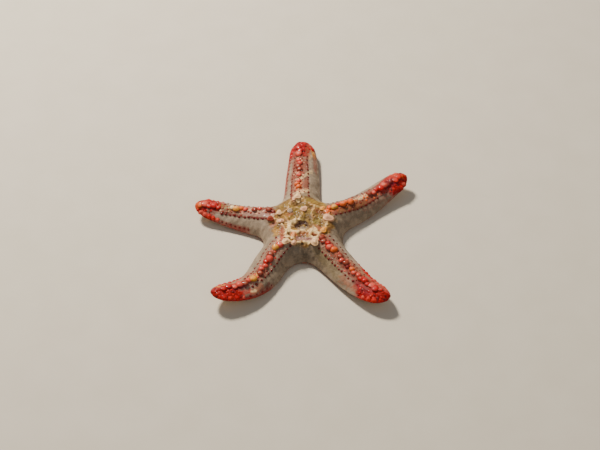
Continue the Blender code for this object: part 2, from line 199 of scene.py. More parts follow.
def inset(plan):
    """Distance of each point from the outline."""
    run = np.roll(OUTLINE, -1, axis=0) - OUTLINE
    square = np.maximum((run ** 2).sum(1), 1e-12)
    nearest = np.empty(len(plan))
    for first in range(0, len(plan), AT_ONCE):
        spot = plan[first:first + AT_ONCE]
        along = spot @ run.T - (OUTLINE * run).sum(1)
        apart = (spot ** 2).sum(1)[:, None] - 2 * spot @ OUTLINE.T + (OUTLINE ** 2).sum(1)
        share = np.clip(along / square, 0, 1)
        apart += share * (share * square - 2 * along)
        nearest[first:first + AT_ONCE] = np.sqrt(np.maximum(apart.min(axis=1), 0))
    return np.maximum(0.0, nearest - OUTLINE_SLACK)


def own_value(plan, values):
    """What each point takes from the value of each arm, by the bearings it is nearest to."""
    angle = np.arctan2(plan[:, 1], plan[:, 0])
    roots = np.radians([arm[0][0] for arm in ARMS])
    grip = np.exp(BEARING_GRIP * (np.cos(angle[:, None] - roots) - 1))
    grip /= grip.sum(axis=1, keepdims=True)
    return (grip @ np.array(values)).T


def own_arm(plan):
    """Reach, lift and girth at each point."""
    return own_value(plan, [arm[1:] for arm in ARMS])


def floor_lift(plan):
    """How far the raised arm ends carry each point off the floor."""
    reach, lift, _ = own_arm(plan)
    share = np.linalg.norm(plan, axis=1) / reach
    return lift * np.clip((share - LIFT_START) / (1 - LIFT_START), 0, 1) ** LIFT_POWER


def back_height(plan):
    """Height of the back over each point of the plan."""
    reach, _, girth = own_arm(plan)
    away = np.linalg.norm(plan, axis=1)
    fall = np.clip((away - SLOPE_START) / (reach * SLOPE_END - SLOPE_START), 0, 1)
    crest = TIP_HEIGHT + (DISC_HEIGHT - TIP_HEIGHT) * (1 + np.cos(math.pi * fall)) / 2
    crest = crest - CROWN_DIP * np.exp(-(away / CROWN_DIP_RADIUS) ** 4)
    width = plain_half_width(np.clip(away / reach, 0, 1), girth)
    inward = np.clip(inset(plan) / width, 0, 1)
    dome = (1 - (1 - inward) ** SHOULDER) ** (1 / FLANK)
    return floor_lift(plan) + EDGE_HEIGHT + (crest - EDGE_HEIGHT) * dome


def sole_height(plan):
    """Height of the underside with its rounded edge, furrows and mouth."""
    tuck = np.clip(1 - inset(plan) / EDGE_TUCK, 0, 1)
    arm, station, out = locate(plan)
    size = 1 - GROOVE_TAPER * station / REACH[arm]
    ending = smooth(REACH[arm] - GROOVE_END_MARGIN - station, 0, GROOVE_ENDING)
    across = np.clip(1 - np.abs(out) / (GROOVE_HALF_WIDTH * size), 0, 1)
    roof = (1 - (1 - across) ** GROOVE_ROOF[0]) ** GROOVE_ROOF[1]
    furrow = GROOVE_DEPTH * GROOVE_FILL * size * ending * roof
    away = np.linalg.norm(plan, axis=1)
    mouth = MOUTH_DEPTH * smooth(MOUTH_RADIUS * MOUTH_RIM[0] - away, 0, MOUTH_RADIUS * MOUTH_RIM[1])
    hollow = np.maximum(furrow, mouth)
    return floor_lift(plan) + EDGE_HEIGHT * (1 - np.sqrt(1 - tuck ** 2)) + hollow


def locate(plan):
    """Arm, station and sideways distance of each plan point."""
    away = np.linalg.norm(plan, axis=1)
    angle = np.arctan2(plan[:, 1], plan[:, 0])
    turns = [(angle - bearing(arm, away) + math.pi) % math.tau - math.pi
             for arm in range(ARM_COUNT)]
    arm = np.abs(turns).argmin(axis=0)
    turn = np.array(turns)[arm, np.arange(len(plan))]
    return arm, away * np.cos(turn), away * np.sin(turn)


def smooth(value, start, end):
    """0 before start, 1 past end, with an even turn between."""
    share = np.clip((value - start) / (end - start), 0, 1)
    return share * share * (3 - 2 * share)


def hump(distance, width):
    """1 at no distance, fading to 0 beyond about twice the width."""
    return np.exp(-(distance / width) ** 2)


RIPPLE_SPREAD = (0.7, 1.5)  # lengths of the waves in an uneven field, as shares of the one asked


def ripples(plan, length, seed, waves=14):
    """An uneven field of about -1 to 1 whose swells are of that length."""
    dice = np.random.default_rng(seed)
    field = np.zeros(len(plan))
    for _ in range(waves):
        angle, phase = dice.uniform(0, math.tau, 2)
        pitch = math.tau / (length * dice.uniform(*RIPPLE_SPREAD))
        field += np.sin(plan @ [pitch * math.cos(angle), pitch * math.sin(angle)] + phase)
    return field / math.sqrt(waves)


# ---- where the knobs stand ------------------------------------------------------------------
TINTS = {
    "red": (0.50, 0.004, 0.004),
    "scarlet": (0.66, 0.018, 0.008),
    "crimson": (0.14, 0.003, 0.003),
    "orange": (0.82, 0.130, 0.016),
    "amber": (0.88, 0.360, 0.045),
    "pink": (0.70, 0.075, 0.045),
    "cream": (0.97, 0.660, 0.310),
    "rust": (0.26, 0.040, 0.018),
    "blush": (0.880, 0.460, 0.250),
    "ivory": (1.000, 0.600, 0.290),
}
KNOBS = {
    # radius and height in metres and the tint; capitals are the large ones
    "O": (0.0028, 0.0020, "orange"), "o": (0.0021, 0.0013, "orange"),
    "Y": (0.0026, 0.0017, "amber"), "R": (0.0027, 0.0018, "red"),
    "r": (0.0020, 0.0012, "red"), "P": (0.0028, 0.0018, "pink"),
    "p": (0.0020, 0.0012, "pink"), "w": (0.0020, 0.0009, "cream"),
    "d": (0.0017, 0.0009, "crimson"), "b": (0.0023, 0.0011, "rust"),
    "s": (0.0022, 0.0012, "scarlet"),
}
RIDGE_ROWS = (
    # knobs along each ridge, a step apart; a dot is a gap
    "w..oop.p.bbpp.Prr.r",
    "oYrOoO....bprRPddss",
    "bbrPO.bpbdopprRrPRr",
    "..PY.bPrppb.YpbPprr",
    "db.pb.poYw..rRrPo",
)
ROW_START = 0.0285
ROW_STEP = 0.0043
TIP_FLATTENING = 0.62       # share of their height that the knobs lose towards the tip
TIP_FLATTENS = (0.72, 0.88) # shares of the reach between which they lose it
ZIGZAG = 0.0007             # the knobs of a row stand to left and right of it in turn
CREST_SHIFT = (
    # how far the row stands beside the ridge near the disc and at the tip
    (0.0042, 0.0033), (0.0010, -0.0010), (-0.0010, 0.0005), (0.0010, 0.0000), (-0.0030, 0.0015),
)
CREST_TURN = (0.30, 0.90)   # shares of the reach between which the row goes over
ROWS_CLOSE = (0.35, 0.85)   # and between which the dotted rows close in on it
CREST_PULL = 0.6            # the dotted rows follow this share of the crest's own shift
CROWN = (
    # place in millimetres from the middle, radius, height and tint of the knobs on the disc
    (-15.1, -27.2, 2.6, 1.5, "ivory"), (11.4, -27.4, 3.0, 1.7, "ivory"),
    (23.4, 1.2, 3.4, 2.2, "blush"), (1.4, 12.9, 2.3, 1.3, "blush"),
    (-21.4, 7.6, 2.0, 1.0, "ivory"), (19.2, -13.7, 2.4, 1.4, "amber"),
    (-7.9, -27.6, 1.8, 1.0, "blush"), (-29.0, 0.8, 2.2, 1.2, "rust"),
    (-19.6, -2.8, 1.9, 0.9, "blush"), (-4.4, 27.0, 2.2, 1.1, "ivory"),
    (-7.6, 25.4, 1.6, 0.8, "blush"), (18.5, 13.0, 1.8, 0.9, "amber"),
    (23.0, 9.0, 2.0, 1.1, "orange"),
)
CROWN_RIDGES = (
    # the worn ridges of the disc: a first place in millimetres, then each next place with the
    # half width and height of the stretch that leads to it
    ((-6.2, -1.4), (-10.4, -4.5, 2.1, 1.7), (-12.4, -10.6, 2.1, 1.7), (-14.6, -14.8, 1.9, 1.6)),
    ((-5.4, -15.6), (-0.7, -12.8, 1.8, 1.6), (4.4, -16.2, 1.9, 1.6)),
    ((-14.9, -20.5), (-15.1, -27.2, 1.9, 1.4), (-7.9, -27.6, 1.5, 1.0), (-1.8, -26.6, 1.2, 0.8)),
    ((1.8, -26.6), (11.4, -27.4, 1.6, 1.0), (14.6, -21.5, 2.0, 1.5)),
    ((15.5, -19.0), (19.2, -13.7, 1.3, 0.9), (21.6, -6.5, 1.3, 0.7), (23.4, 1.2, 1.4, 0.8),
     (24.2, 8.0, 1.4, 0.8)),
    ((-19.6, -2.8), (-24.4, -1.4, 1.4, 1.3), (-29.0, 0.8, 1.3, 0.8), (-26.2, 6.0, 1.2, 0.8),
     (-21.4, 7.6, 1.2, 0.8), (-13.0, 12.5, 1.4, 0.6), (-4.5, 14.2, 1.4, 0.5), (1.4, 12.9, 1.6, 0.8),
     (8.4, 9.8, 1.5, 0.6), (12.0, 17.0, 1.4, 0.5), (18.5, 13.0, 1.4, 0.6), (23.0, 9.0, 1.4, 0.7)),
    ((-19.6, -2.8), (-18.0, -8.4, 1.3, 1.0), (-14.6, -13.8, 1.3, 0.8)),
    ((-13.0, 12.5), (-12.0, 20.0, 1.4, 0.5), (-7.6, 25.4, 1.4, 0.6)),
    ((-4.4, 27.0), (4.6, 21.6, 1.4, 0.6), (12.0, 17.0, 1.4, 0.5)),
    ((8.4, 9.8), (10.5, -8.0, 1.3, 0.5), (5.0, -15.8, 1.4, 0.7)),
    ((10.5, -8.0), (12.6, -14.8, 1.5, 0.9)),
    ((-4.4, 27.0), (-3.6, 35.0, 1.7, 0.9)),
    ((-6.2, -1.4), (-2.0, 2.4, 1.6, 1.1)),
    ((-2.0, 3.0), (1.4, 12.9, 1.3, 0.5)),
    ((-10.4, -4.5), (-19.6, -2.8, 1.4, 0.7)),
    ((-10.4, -4.5), (-16.0, 3.5, 1.3, 0.5), (-21.4, 7.6, 1.3, 0.5)),
)
CROWN_RINGS = (
    # two knobs worn down to rings: place, radius of the ring, half width, height, depth inside
    (-11.6, -18.6, 3.9, 2.1, 1.5, 1.6), (10.8, -18.6, 3.9, 2.1, 1.5, 1.9),
)
PITS = (
    # hollows of the disc: place, radius and depth in millimetres
    (-0.6, -3.8, 3.2, 1.6), (-5.2, -7.4, 2.0, 1.0), (-0.6, -9.4, 2.8, 1.0), (0.0, -28.0, 1.3, 1.2),
    (-1.0, -22.0, 3.6, 1.1), (5.6, -22.8, 2.4, 0.8), (-26.4, -4.8, 2.2, 1.1),
    (11.2, -1.0, 3.4, 1.2), (17.4, -25.0, 1.6, 0.8), (15.2, 8.5, 3.0, 1.0),
    (-24.0, -11.0, 3.0, 0.7), (-8.6, 6.8, 3.6, 0.9), (4.2, 4.0, 2.8, 0.9),
    (-15.5, -1.0, 2.4, 0.7), (-3.6, 20.0, 3.6, 0.9), (-19.5, -21.0, 1.6, 0.5),
    (16.5, -8.0, 2.6, 0.7), (6.6, 15.6, 2.6, 0.7), (-17.0, 15.5, 2.8, 0.6),
    (-21.5, 2.0, 2.2, 0.7), (7.6, -12.6, 1.8, 0.6),
)
RED_START = (0.80, 0.68, 0.70, 0.77, 0.75)      # shares of the reach where the tips turn red
# for the left and right side of each arm: how much later the red begins low on the flank, and
# where the large beads and the row at the edge begin
RED_SLANT = ((0.00, 0.22), (0.26, 0.17), (0.16, 0.13), (0.12, 0.22), (0.11, 0.05))
BEAD_START = ((0.80, 0.80), (0.74, 0.68), (0.52, 0.80), (0.78, 0.72), (0.72, 0.72))
EDGE_LINE = ((0.35, 0.90), (0.90, 0.90), (0.45, 0.80), (0.62, 0.70), (0.46, 0.60))
EDGE_STEP = 0.0044
EDGE_END = 0.0062           # the rows stop this short of the tip
EDGE_ROW_PLACE = 0.90       # share of the way from ridge to edge
RIPE_INWARD = 0.05          # the large beads stand this share further in than the studs
EDGE_BEAD = (0.0013, 0.0021)            # radius where the row begins and at the tip
EDGE_STUD = 0.0007                      # radius of the dark studs that lead up to it
EDGE_RIPENS = (-0.03, 0.14)             # where the studs grow into beads, about BEAD_START
EDGE_GROWS = 4                          # how fast a stud grows while it ripens
EDGE_STRAY = 0.02                       # share of the width that the row strays
EDGE_SIZES = (0.85, 1.15)
EDGE_RISE = (0.55, 0.17)                # height over radius, and what is lost of it to the tip
EDGE_FLATTENS = (0.75, 0.92)
EDGE_TINTS = ["red", "pink", "scarlet", "pink"]
RIPE = 0.15                             # a stud this far grown is a bead
FLANK_ROW = (0.0080, 0.0055)            # the dotted rows beside the ridge, near the disc and tip
FLANK_START = 0.031
FLANK_STEP = 0.0045
FLANK_STRAY = (7e-4, 3e-4)              # how far the studs stray along and across their row
FLANK_SIZES = (0.8, 1.2)
FLANK_STUD = (0.0009, 0.00045)          # radius and height
TIP_END = 0.0030                        # the last of the arm, too smooth for beads
TIP_BEAD = (0.0011, 0.0006)             # radius of the largest and smallest bead of a tip
TIP_BEAD_RISE = 0.30                    # height of a bead over its radius
BEAD_CROWDING = 1.15                    # how close beads stand, as a share of their radii
TIP_BEADS_TRIED = 150
TIP_BEADS_PAST = 0.01                   # they begin this share of the reach into the red
TIP_BEAD_PLACE = 0.90                   # they keep within this share of the half width
TIP_BEAD_TINTS = ["red", "red", "scarlet", "crimson"]
TIP_BEAD_POWERS = (1.2, 1.5)            # these crowd the beads tipwards and favour small ones
NEAR_SHARE = 0.9                        # knobs nearer the disc than this share can't be touched
CREST_BEAD = (0.0011, 0.0004)           # radius of the largest and smallest bead of a crest
CREST_BEAD_RISE = 0.45
CREST_BEAD_SPREAD = 0.0021              # how widely they stray from the row of knobs
CREST_BEADS_TRIED = 420
CREST_BEADS_PAST = 0.03                 # they end this share of the reach into the red
CREST_BEAD_TINTS = (
    ("rust", "rust", "blush"), ("rust", "rust", "orange"), ("rust", "crimson", "pink"),
    ("rust", "crimson", "pink"), ("rust", "rust", "blush"),
)
SLOPE_STEP = 0.0006         # distance over which the slope of the back is measured
MM = 0.001
TINY = 1e-6                 # keeps a share of nothing from being divided by nothing


def crest(arm, station):
    """The sideways place of the row of knobs."""
    first, last = np.array(CREST_SHIFT)[arm].T
    return first + (last - first) * smooth(station / REACH[arm], *CREST_TURN)


def row_out(arm, station):
    """How far the dotted rows stand from the crest."""
    fade = smooth(station / REACH[arm], *ROWS_CLOSE)
    return FLANK_ROW[0] + (FLANK_ROW[1] - FLANK_ROW[0]) * fade


def place(arm, station, out, radius, height, tint):
    """One knob: where it stands on the plan, its size and its tint."""
    plan = beside(arm, station, out)
    return (*plan, radius, height, *TINTS[tint])


def ridge_knobs():
    """The large knobs along the ridges."""
    made = []
    for arm, row in enumerate(RIDGE_ROWS):
        for number, letter in enumerate(row):
            station = ROW_START + ROW_STEP * number
            if letter == "." or station > REACH[arm] - TIP_END:
                continue
            radius, height, tint = KNOBS[letter]
            out = crest(arm, station) + ZIGZAG * (-1) ** number
            height *= 1 - TIP_FLATTENING * smooth(station / REACH[arm], *TIP_FLATTENS)
            made.append(place(arm, station, out, radius, height, tint))
    return np.array(made)


def crown_knobs():
    """The worn knobs of the disc."""
    return np.array([(x * MM, y * MM, radius * MM, height * MM, *TINTS[tint])
                     for x, y, radius, height, tint in CROWN])


def edge_beads():
    """The rows round the edge: dark studs near the webs, red beads towards the tips."""
    made = []
    for arm in range(ARM_COUNT):
        for number, side in enumerate((1, -1)):
            start = BEAD_START[arm][number]
            line = EDGE_LINE[arm][number] * REACH[arm]
            for station in np.arange(line, REACH[arm] - EDGE_END, EDGE_STEP):
                share = station / REACH[arm]
                ripe = float(smooth(share, start + EDGE_RIPENS[0], start + EDGE_RIPENS[1]))
                grown = EDGE_BEAD[0] + (EDGE_BEAD[1] - EDGE_BEAD[0]) * ripe
                radius = EDGE_STUD + (grown - EDGE_STUD) * min(1.0, ripe * EDGE_GROWS)
                radius *= RANDOM.uniform(*EDGE_SIZES)
                wide = half_width(arm, side, station)
                out = side * wide * (EDGE_ROW_PLACE - RIPE_INWARD * ripe
                                     + RANDOM.uniform(-EDGE_STRAY, EDGE_STRAY))
                ripe_tint = RANDOM.choice(EDGE_TINTS)
                tint = ripe_tint if ripe > RIPE else "crimson"
                flat = float(smooth(share, *EDGE_FLATTENS))
                height = radius * (EDGE_RISE[0] - EDGE_RISE[1] * flat)
                made.append(place(arm, station, out, radius, height, tint))
    return np.array(made)


def flank_studs():
    """The dotted rows that bound the crest of each arm."""
    made = []
    for arm in range(ARM_COUNT):
        for side in (1, -1):
            for station in np.arange(FLANK_START, REACH[arm] * RED_START[arm], FLANK_STEP):
                out = crest(arm, station) * CREST_PULL + side * row_out(arm, station)
                station += RANDOM.uniform(-FLANK_STRAY[0], FLANK_STRAY[0])
                out += RANDOM.normal(0, FLANK_STRAY[1])
                radius, height = np.array(FLANK_STUD) * RANDOM.uniform(*FLANK_SIZES)
                made.append(place(arm, station, out, radius, height, "crimson"))
    return np.array(made)


def scatter(taken, arm, station, out, radius, rise, tints):
    """Small beads at the places tried, largest first, none too close to another or a knob."""
    made = []
    plan = beside(arm, station, out)
    points = stand(plan)[0]
    near = taken[np.linalg.norm(taken[:, :2], axis=1) > station.min() * NEAR_SHARE]
    feet, radii = list(stand(near[:, :2])[0]), list(near[:, 2])
    for index in np.argsort(-radius):
        away = np.linalg.norm(np.array(feet) - points[index], axis=1)
        if (away < (np.array(radii) + radius[index]) * BEAD_CROWDING).any():
            continue
        feet.append(points[index])
        radii.append(radius[index])
        tint = RANDOM.choice(tints)
        made.append((*plan[index], radius[index], radius[index] * rise, *TINTS[tint]))
    return made


def tip_beads(taken):
    """Low beads scattered over the red tips."""
    made = []
    for arm in range(ARM_COUNT):
        start, end = (RED_START[arm] + TIP_BEADS_PAST) * REACH[arm], REACH[arm] - TIP_END
        station = end - (end - start) * RANDOM.uniform(0, 1, TIP_BEADS_TRIED) ** TIP_BEAD_POWERS[0]
        side = RANDOM.choice([-1, 1], TIP_BEADS_TRIED)
        # drawn evenly by the angle round the arm, so that the steep sides get their share
        turn = np.sin(RANDOM.uniform(0, math.pi / 2, TIP_BEADS_TRIED))
        share = RANDOM.uniform(0, 1, TIP_BEADS_TRIED) ** TIP_BEAD_POWERS[1]
        radius = TIP_BEAD[1] + (TIP_BEAD[0] - TIP_BEAD[1]) * share
        wide = np.where(side > 0, half_width(arm, 1, station), half_width(arm, -1, station))
        slant = np.where(side > 0, *RED_SLANT[arm]) * turn ** 2
        out = side * wide * turn * TIP_BEAD_PLACE
        kept = station > start + slant * REACH[arm]
        made += scatter(taken, arm, station[kept], out[kept], radius[kept], TIP_BEAD_RISE,
                        TIP_BEAD_TINTS)
    return np.array(made)


def crest_beads(taken):
    """Small beads between the knobs of the ridge rows."""
    made = []
    for arm in range(ARM_COUNT):
        end = (RED_START[arm] + CREST_BEADS_PAST) * REACH[arm]
        station = RANDOM.uniform(ROW_START, end, CREST_BEADS_TRIED)
        out = crest(arm, station) + RANDOM.normal(0, CREST_BEAD_SPREAD, CREST_BEADS_TRIED)
        share = RANDOM.uniform(0, 1, CREST_BEADS_TRIED) ** 2
        radius = CREST_BEAD[1] + (CREST_BEAD[0] - CREST_BEAD[1]) * share
        made += scatter(taken, arm, station, out, radius, CREST_BEAD_RISE, CREST_BEAD_TINTS[arm])
    return np.array(made)


def stand(plan):
    """Points of the smooth back over the plan, and the directions straight out of it."""
    level = back_height(plan)
    slopes = [(back_height(plan + step) - back_height(plan - step)) / (2 * SLOPE_STEP)
              for step in ([SLOPE_STEP, 0], [0, SLOPE_STEP])]
    normal = np.stack([-slopes[0], -slopes[1], np.ones(len(plan))], axis=1)
    normal /= np.linalg.norm(normal, axis=1, keepdims=True)
    return np.column_stack([plan, level]), normal


# ---- relief of the skin ---------------------------------------------------------------------
COAT = 0.00025              # the skin lies this far inside the solids, under its granules
SWELL = 0.28                # height of the swelling under a knob, as a share of its radius
SWELL_WIDTH = 1.35          # and its width
SWELL_REACH = 2.5           # it is followed this far out, in its own widths
KEEL = (0.0007, 0.0022)     # height and half width of the low keel that carries the ridge knobs
BAND_STEP = 0.00035         # the crest of an arm stands a little proud of the flanks
UNEVEN = ((0.0110, 0.00018), (0.0045, 0.00008), (0.0021, 0.00003))  # wavelength and height
UNEVEN_SEED = 40
CROWN_UNEVEN = (0.0034, 0.00014)        # the same on the crown
CROWN_RISE = 1.3            # scales the heights given for the worn ridges
# painted shade: the depth at which a hollow of the disc gets its full painted shade
HOLLOW_SHADE_DEPTH = 0.0008       # a hollow of the disc this deep is fully dark
CROWN_REACH = 0.036         # beyond this distance from the middle the crown has no relief
CROWN_FADE = (0.030, 0.035) # and between these it fades
CREST_BEGINS = (0.026, 0.034)           # distances from the middle where the crests rise
BAND_SLOPE = (-0.0006, 0.0008)          # width of the step at the side of a crest
BAND_SPREAD = 0.0004                    # the crest reaches this far past its dotted rows
WANDER = (0.0006, 0.0080)   # how far the worn ridges stray from straight lines, and wavelength
RAGGED = 0.30               # how uneven the outlines of ridges, rings, pits and marks are
CROWN_RAGGED_LENGTH = 0.0036            # wavelength of this on the crown
CROWN_SWAY = (0.25, 0.0050) # how unevenly high the worn ridges are, and wavelength
PALE_WIDTH = 1.15           # paleness spreads this much wider than a worn ridge
RING_HOLLOW = 0.55          # the hollow in a ring as a share of the ring's radius
PIT_STOPS = 0.7             # how much of a pit's depth a pale ridge keeps out


def close_to(points, places, reaches):
    """Walks through places, giving for each the points within its reach and their distance."""
    order = np.argsort(points[:, 0])
    ordered = points[order]
    starts = np.searchsorted(ordered[:, 0], places[:, 0] - reaches)
    ends = np.searchsorted(ordered[:, 0], places[:, 0] + reaches)
    for number, (first, last) in enumerate(zip(starts, ends)):
        away = np.linalg.norm(ordered[first:last] - places[number], axis=1)
        near = away < reaches[number]
        yield number, order[first:last][near], away[near]


def along_line(spot, x1, y1, x2, y2):
    """Distance of each plan point from a short line whose ends are given in millimetres."""
    start, run = np.array([x1, y1]) * MM, np.array([x2 - x1, y2 - y1]) * MM
    share = np.clip((spot - start) @ run / (run @ run), 0, 1)
    return np.linalg.norm(spot - start - share[:, None] * run, axis=1)


def from_place(plan, x, y):
    """Distance of each plan point from a place given in millimetres."""
    return np.linalg.norm(plan - np.array([x, y]) * MM, axis=1)


def crown_relief(plan):
    """Height of the worn disc, how pale its ridges make it and how much painted shade its hollows
    get.
    """
    wobble = 1 + RAGGED * ripples(plan, CROWN_RAGGED_LENGTH, 21)
    straight = plan
    plan = plan + np.stack([ripples(plan, WANDER[1], seed) for seed in (23, 24)],
                           axis=1) * WANDER[0]
    height, pale = np.zeros(len(plan)), np.zeros(len(plan))
    for last, *stretches in CROWN_RIDGES:
        for x, y, width, rise in stretches:
            away = along_line(plan, *last, x, y) * wobble
            height = np.maximum(height, CROWN_RISE * rise * MM * hump(away, width * MM))
            pale = np.maximum(pale, min(1.0, rise) * hump(away, width * MM * PALE_WIDTH))
            last = (x, y)
    for x, y, radius, width, rise, depth in CROWN_RINGS:
        away = from_place(plan, x, y)
        rim = hump((away - radius * MM) * wobble, width * MM)
        height = np.maximum(height, CROWN_RISE * rise * MM * rim)
        height -= depth * MM * hump(away, radius * MM * RING_HOLLOW)
        pale = np.maximum(pale, rim)
    for x, y, radius, depth in PITS:
        away = from_place(plan, x, y)
        height -= depth * MM * hump(away * wobble, radius * MM) * (1 - PIT_STOPS * pale)
    height *= 1 + CROWN_SWAY[0] * ripples(straight, CROWN_SWAY[1], 25)
    hollow = np.clip(-height / HOLLOW_SHADE_DEPTH, 0, 1)
    return height + CROWN_UNEVEN[1] * ripples(straight, CROWN_UNEVEN[0], 22), pale, hollow


def swelling(points, feet, radii):
    """The soft swellings under a set of knobs."""
    total = np.zeros(len(points))
    for number, near, away in close_to(points, feet, radii * SWELL_WIDTH * SWELL_REACH):
        rise = SWELL * radii[number] * hump(away, radii[number] * SWELL_WIDTH)
        total[near] = np.maximum(total[near], rise)
    return total


def relief(points, feet, radii):
    """How far the skin stands out of the smooth back, which is inside the solids where flat."""
    plan = points[:, :2]
    arm, station, out = locate(plan)
    away = np.linalg.norm(plan, axis=1)
    height = swelling(points, feet, radii) - COAT
    near = away < CROWN_REACH
    crown = np.zeros(len(plan))
    crown[near] = crown_relief(plan[near])[0]
    height += crown * (1 - smooth(away, *CROWN_FADE))
    keel = hump(out - crest(arm, station), KEEL[1])
    beside_crest = np.abs(out - crest(arm, station) * CREST_PULL)
    band = smooth(row_out(arm, station) + BAND_SPREAD - beside_crest, *BAND_SLOPE)
    height += (BAND_STEP * band + KEEL[0] * keel) * smooth(away, *CREST_BEGINS)
    for number, (length, size) in enumerate(UNEVEN):
        height += size * ripples(plan, length, UNEVEN_SEED + number)
    return height


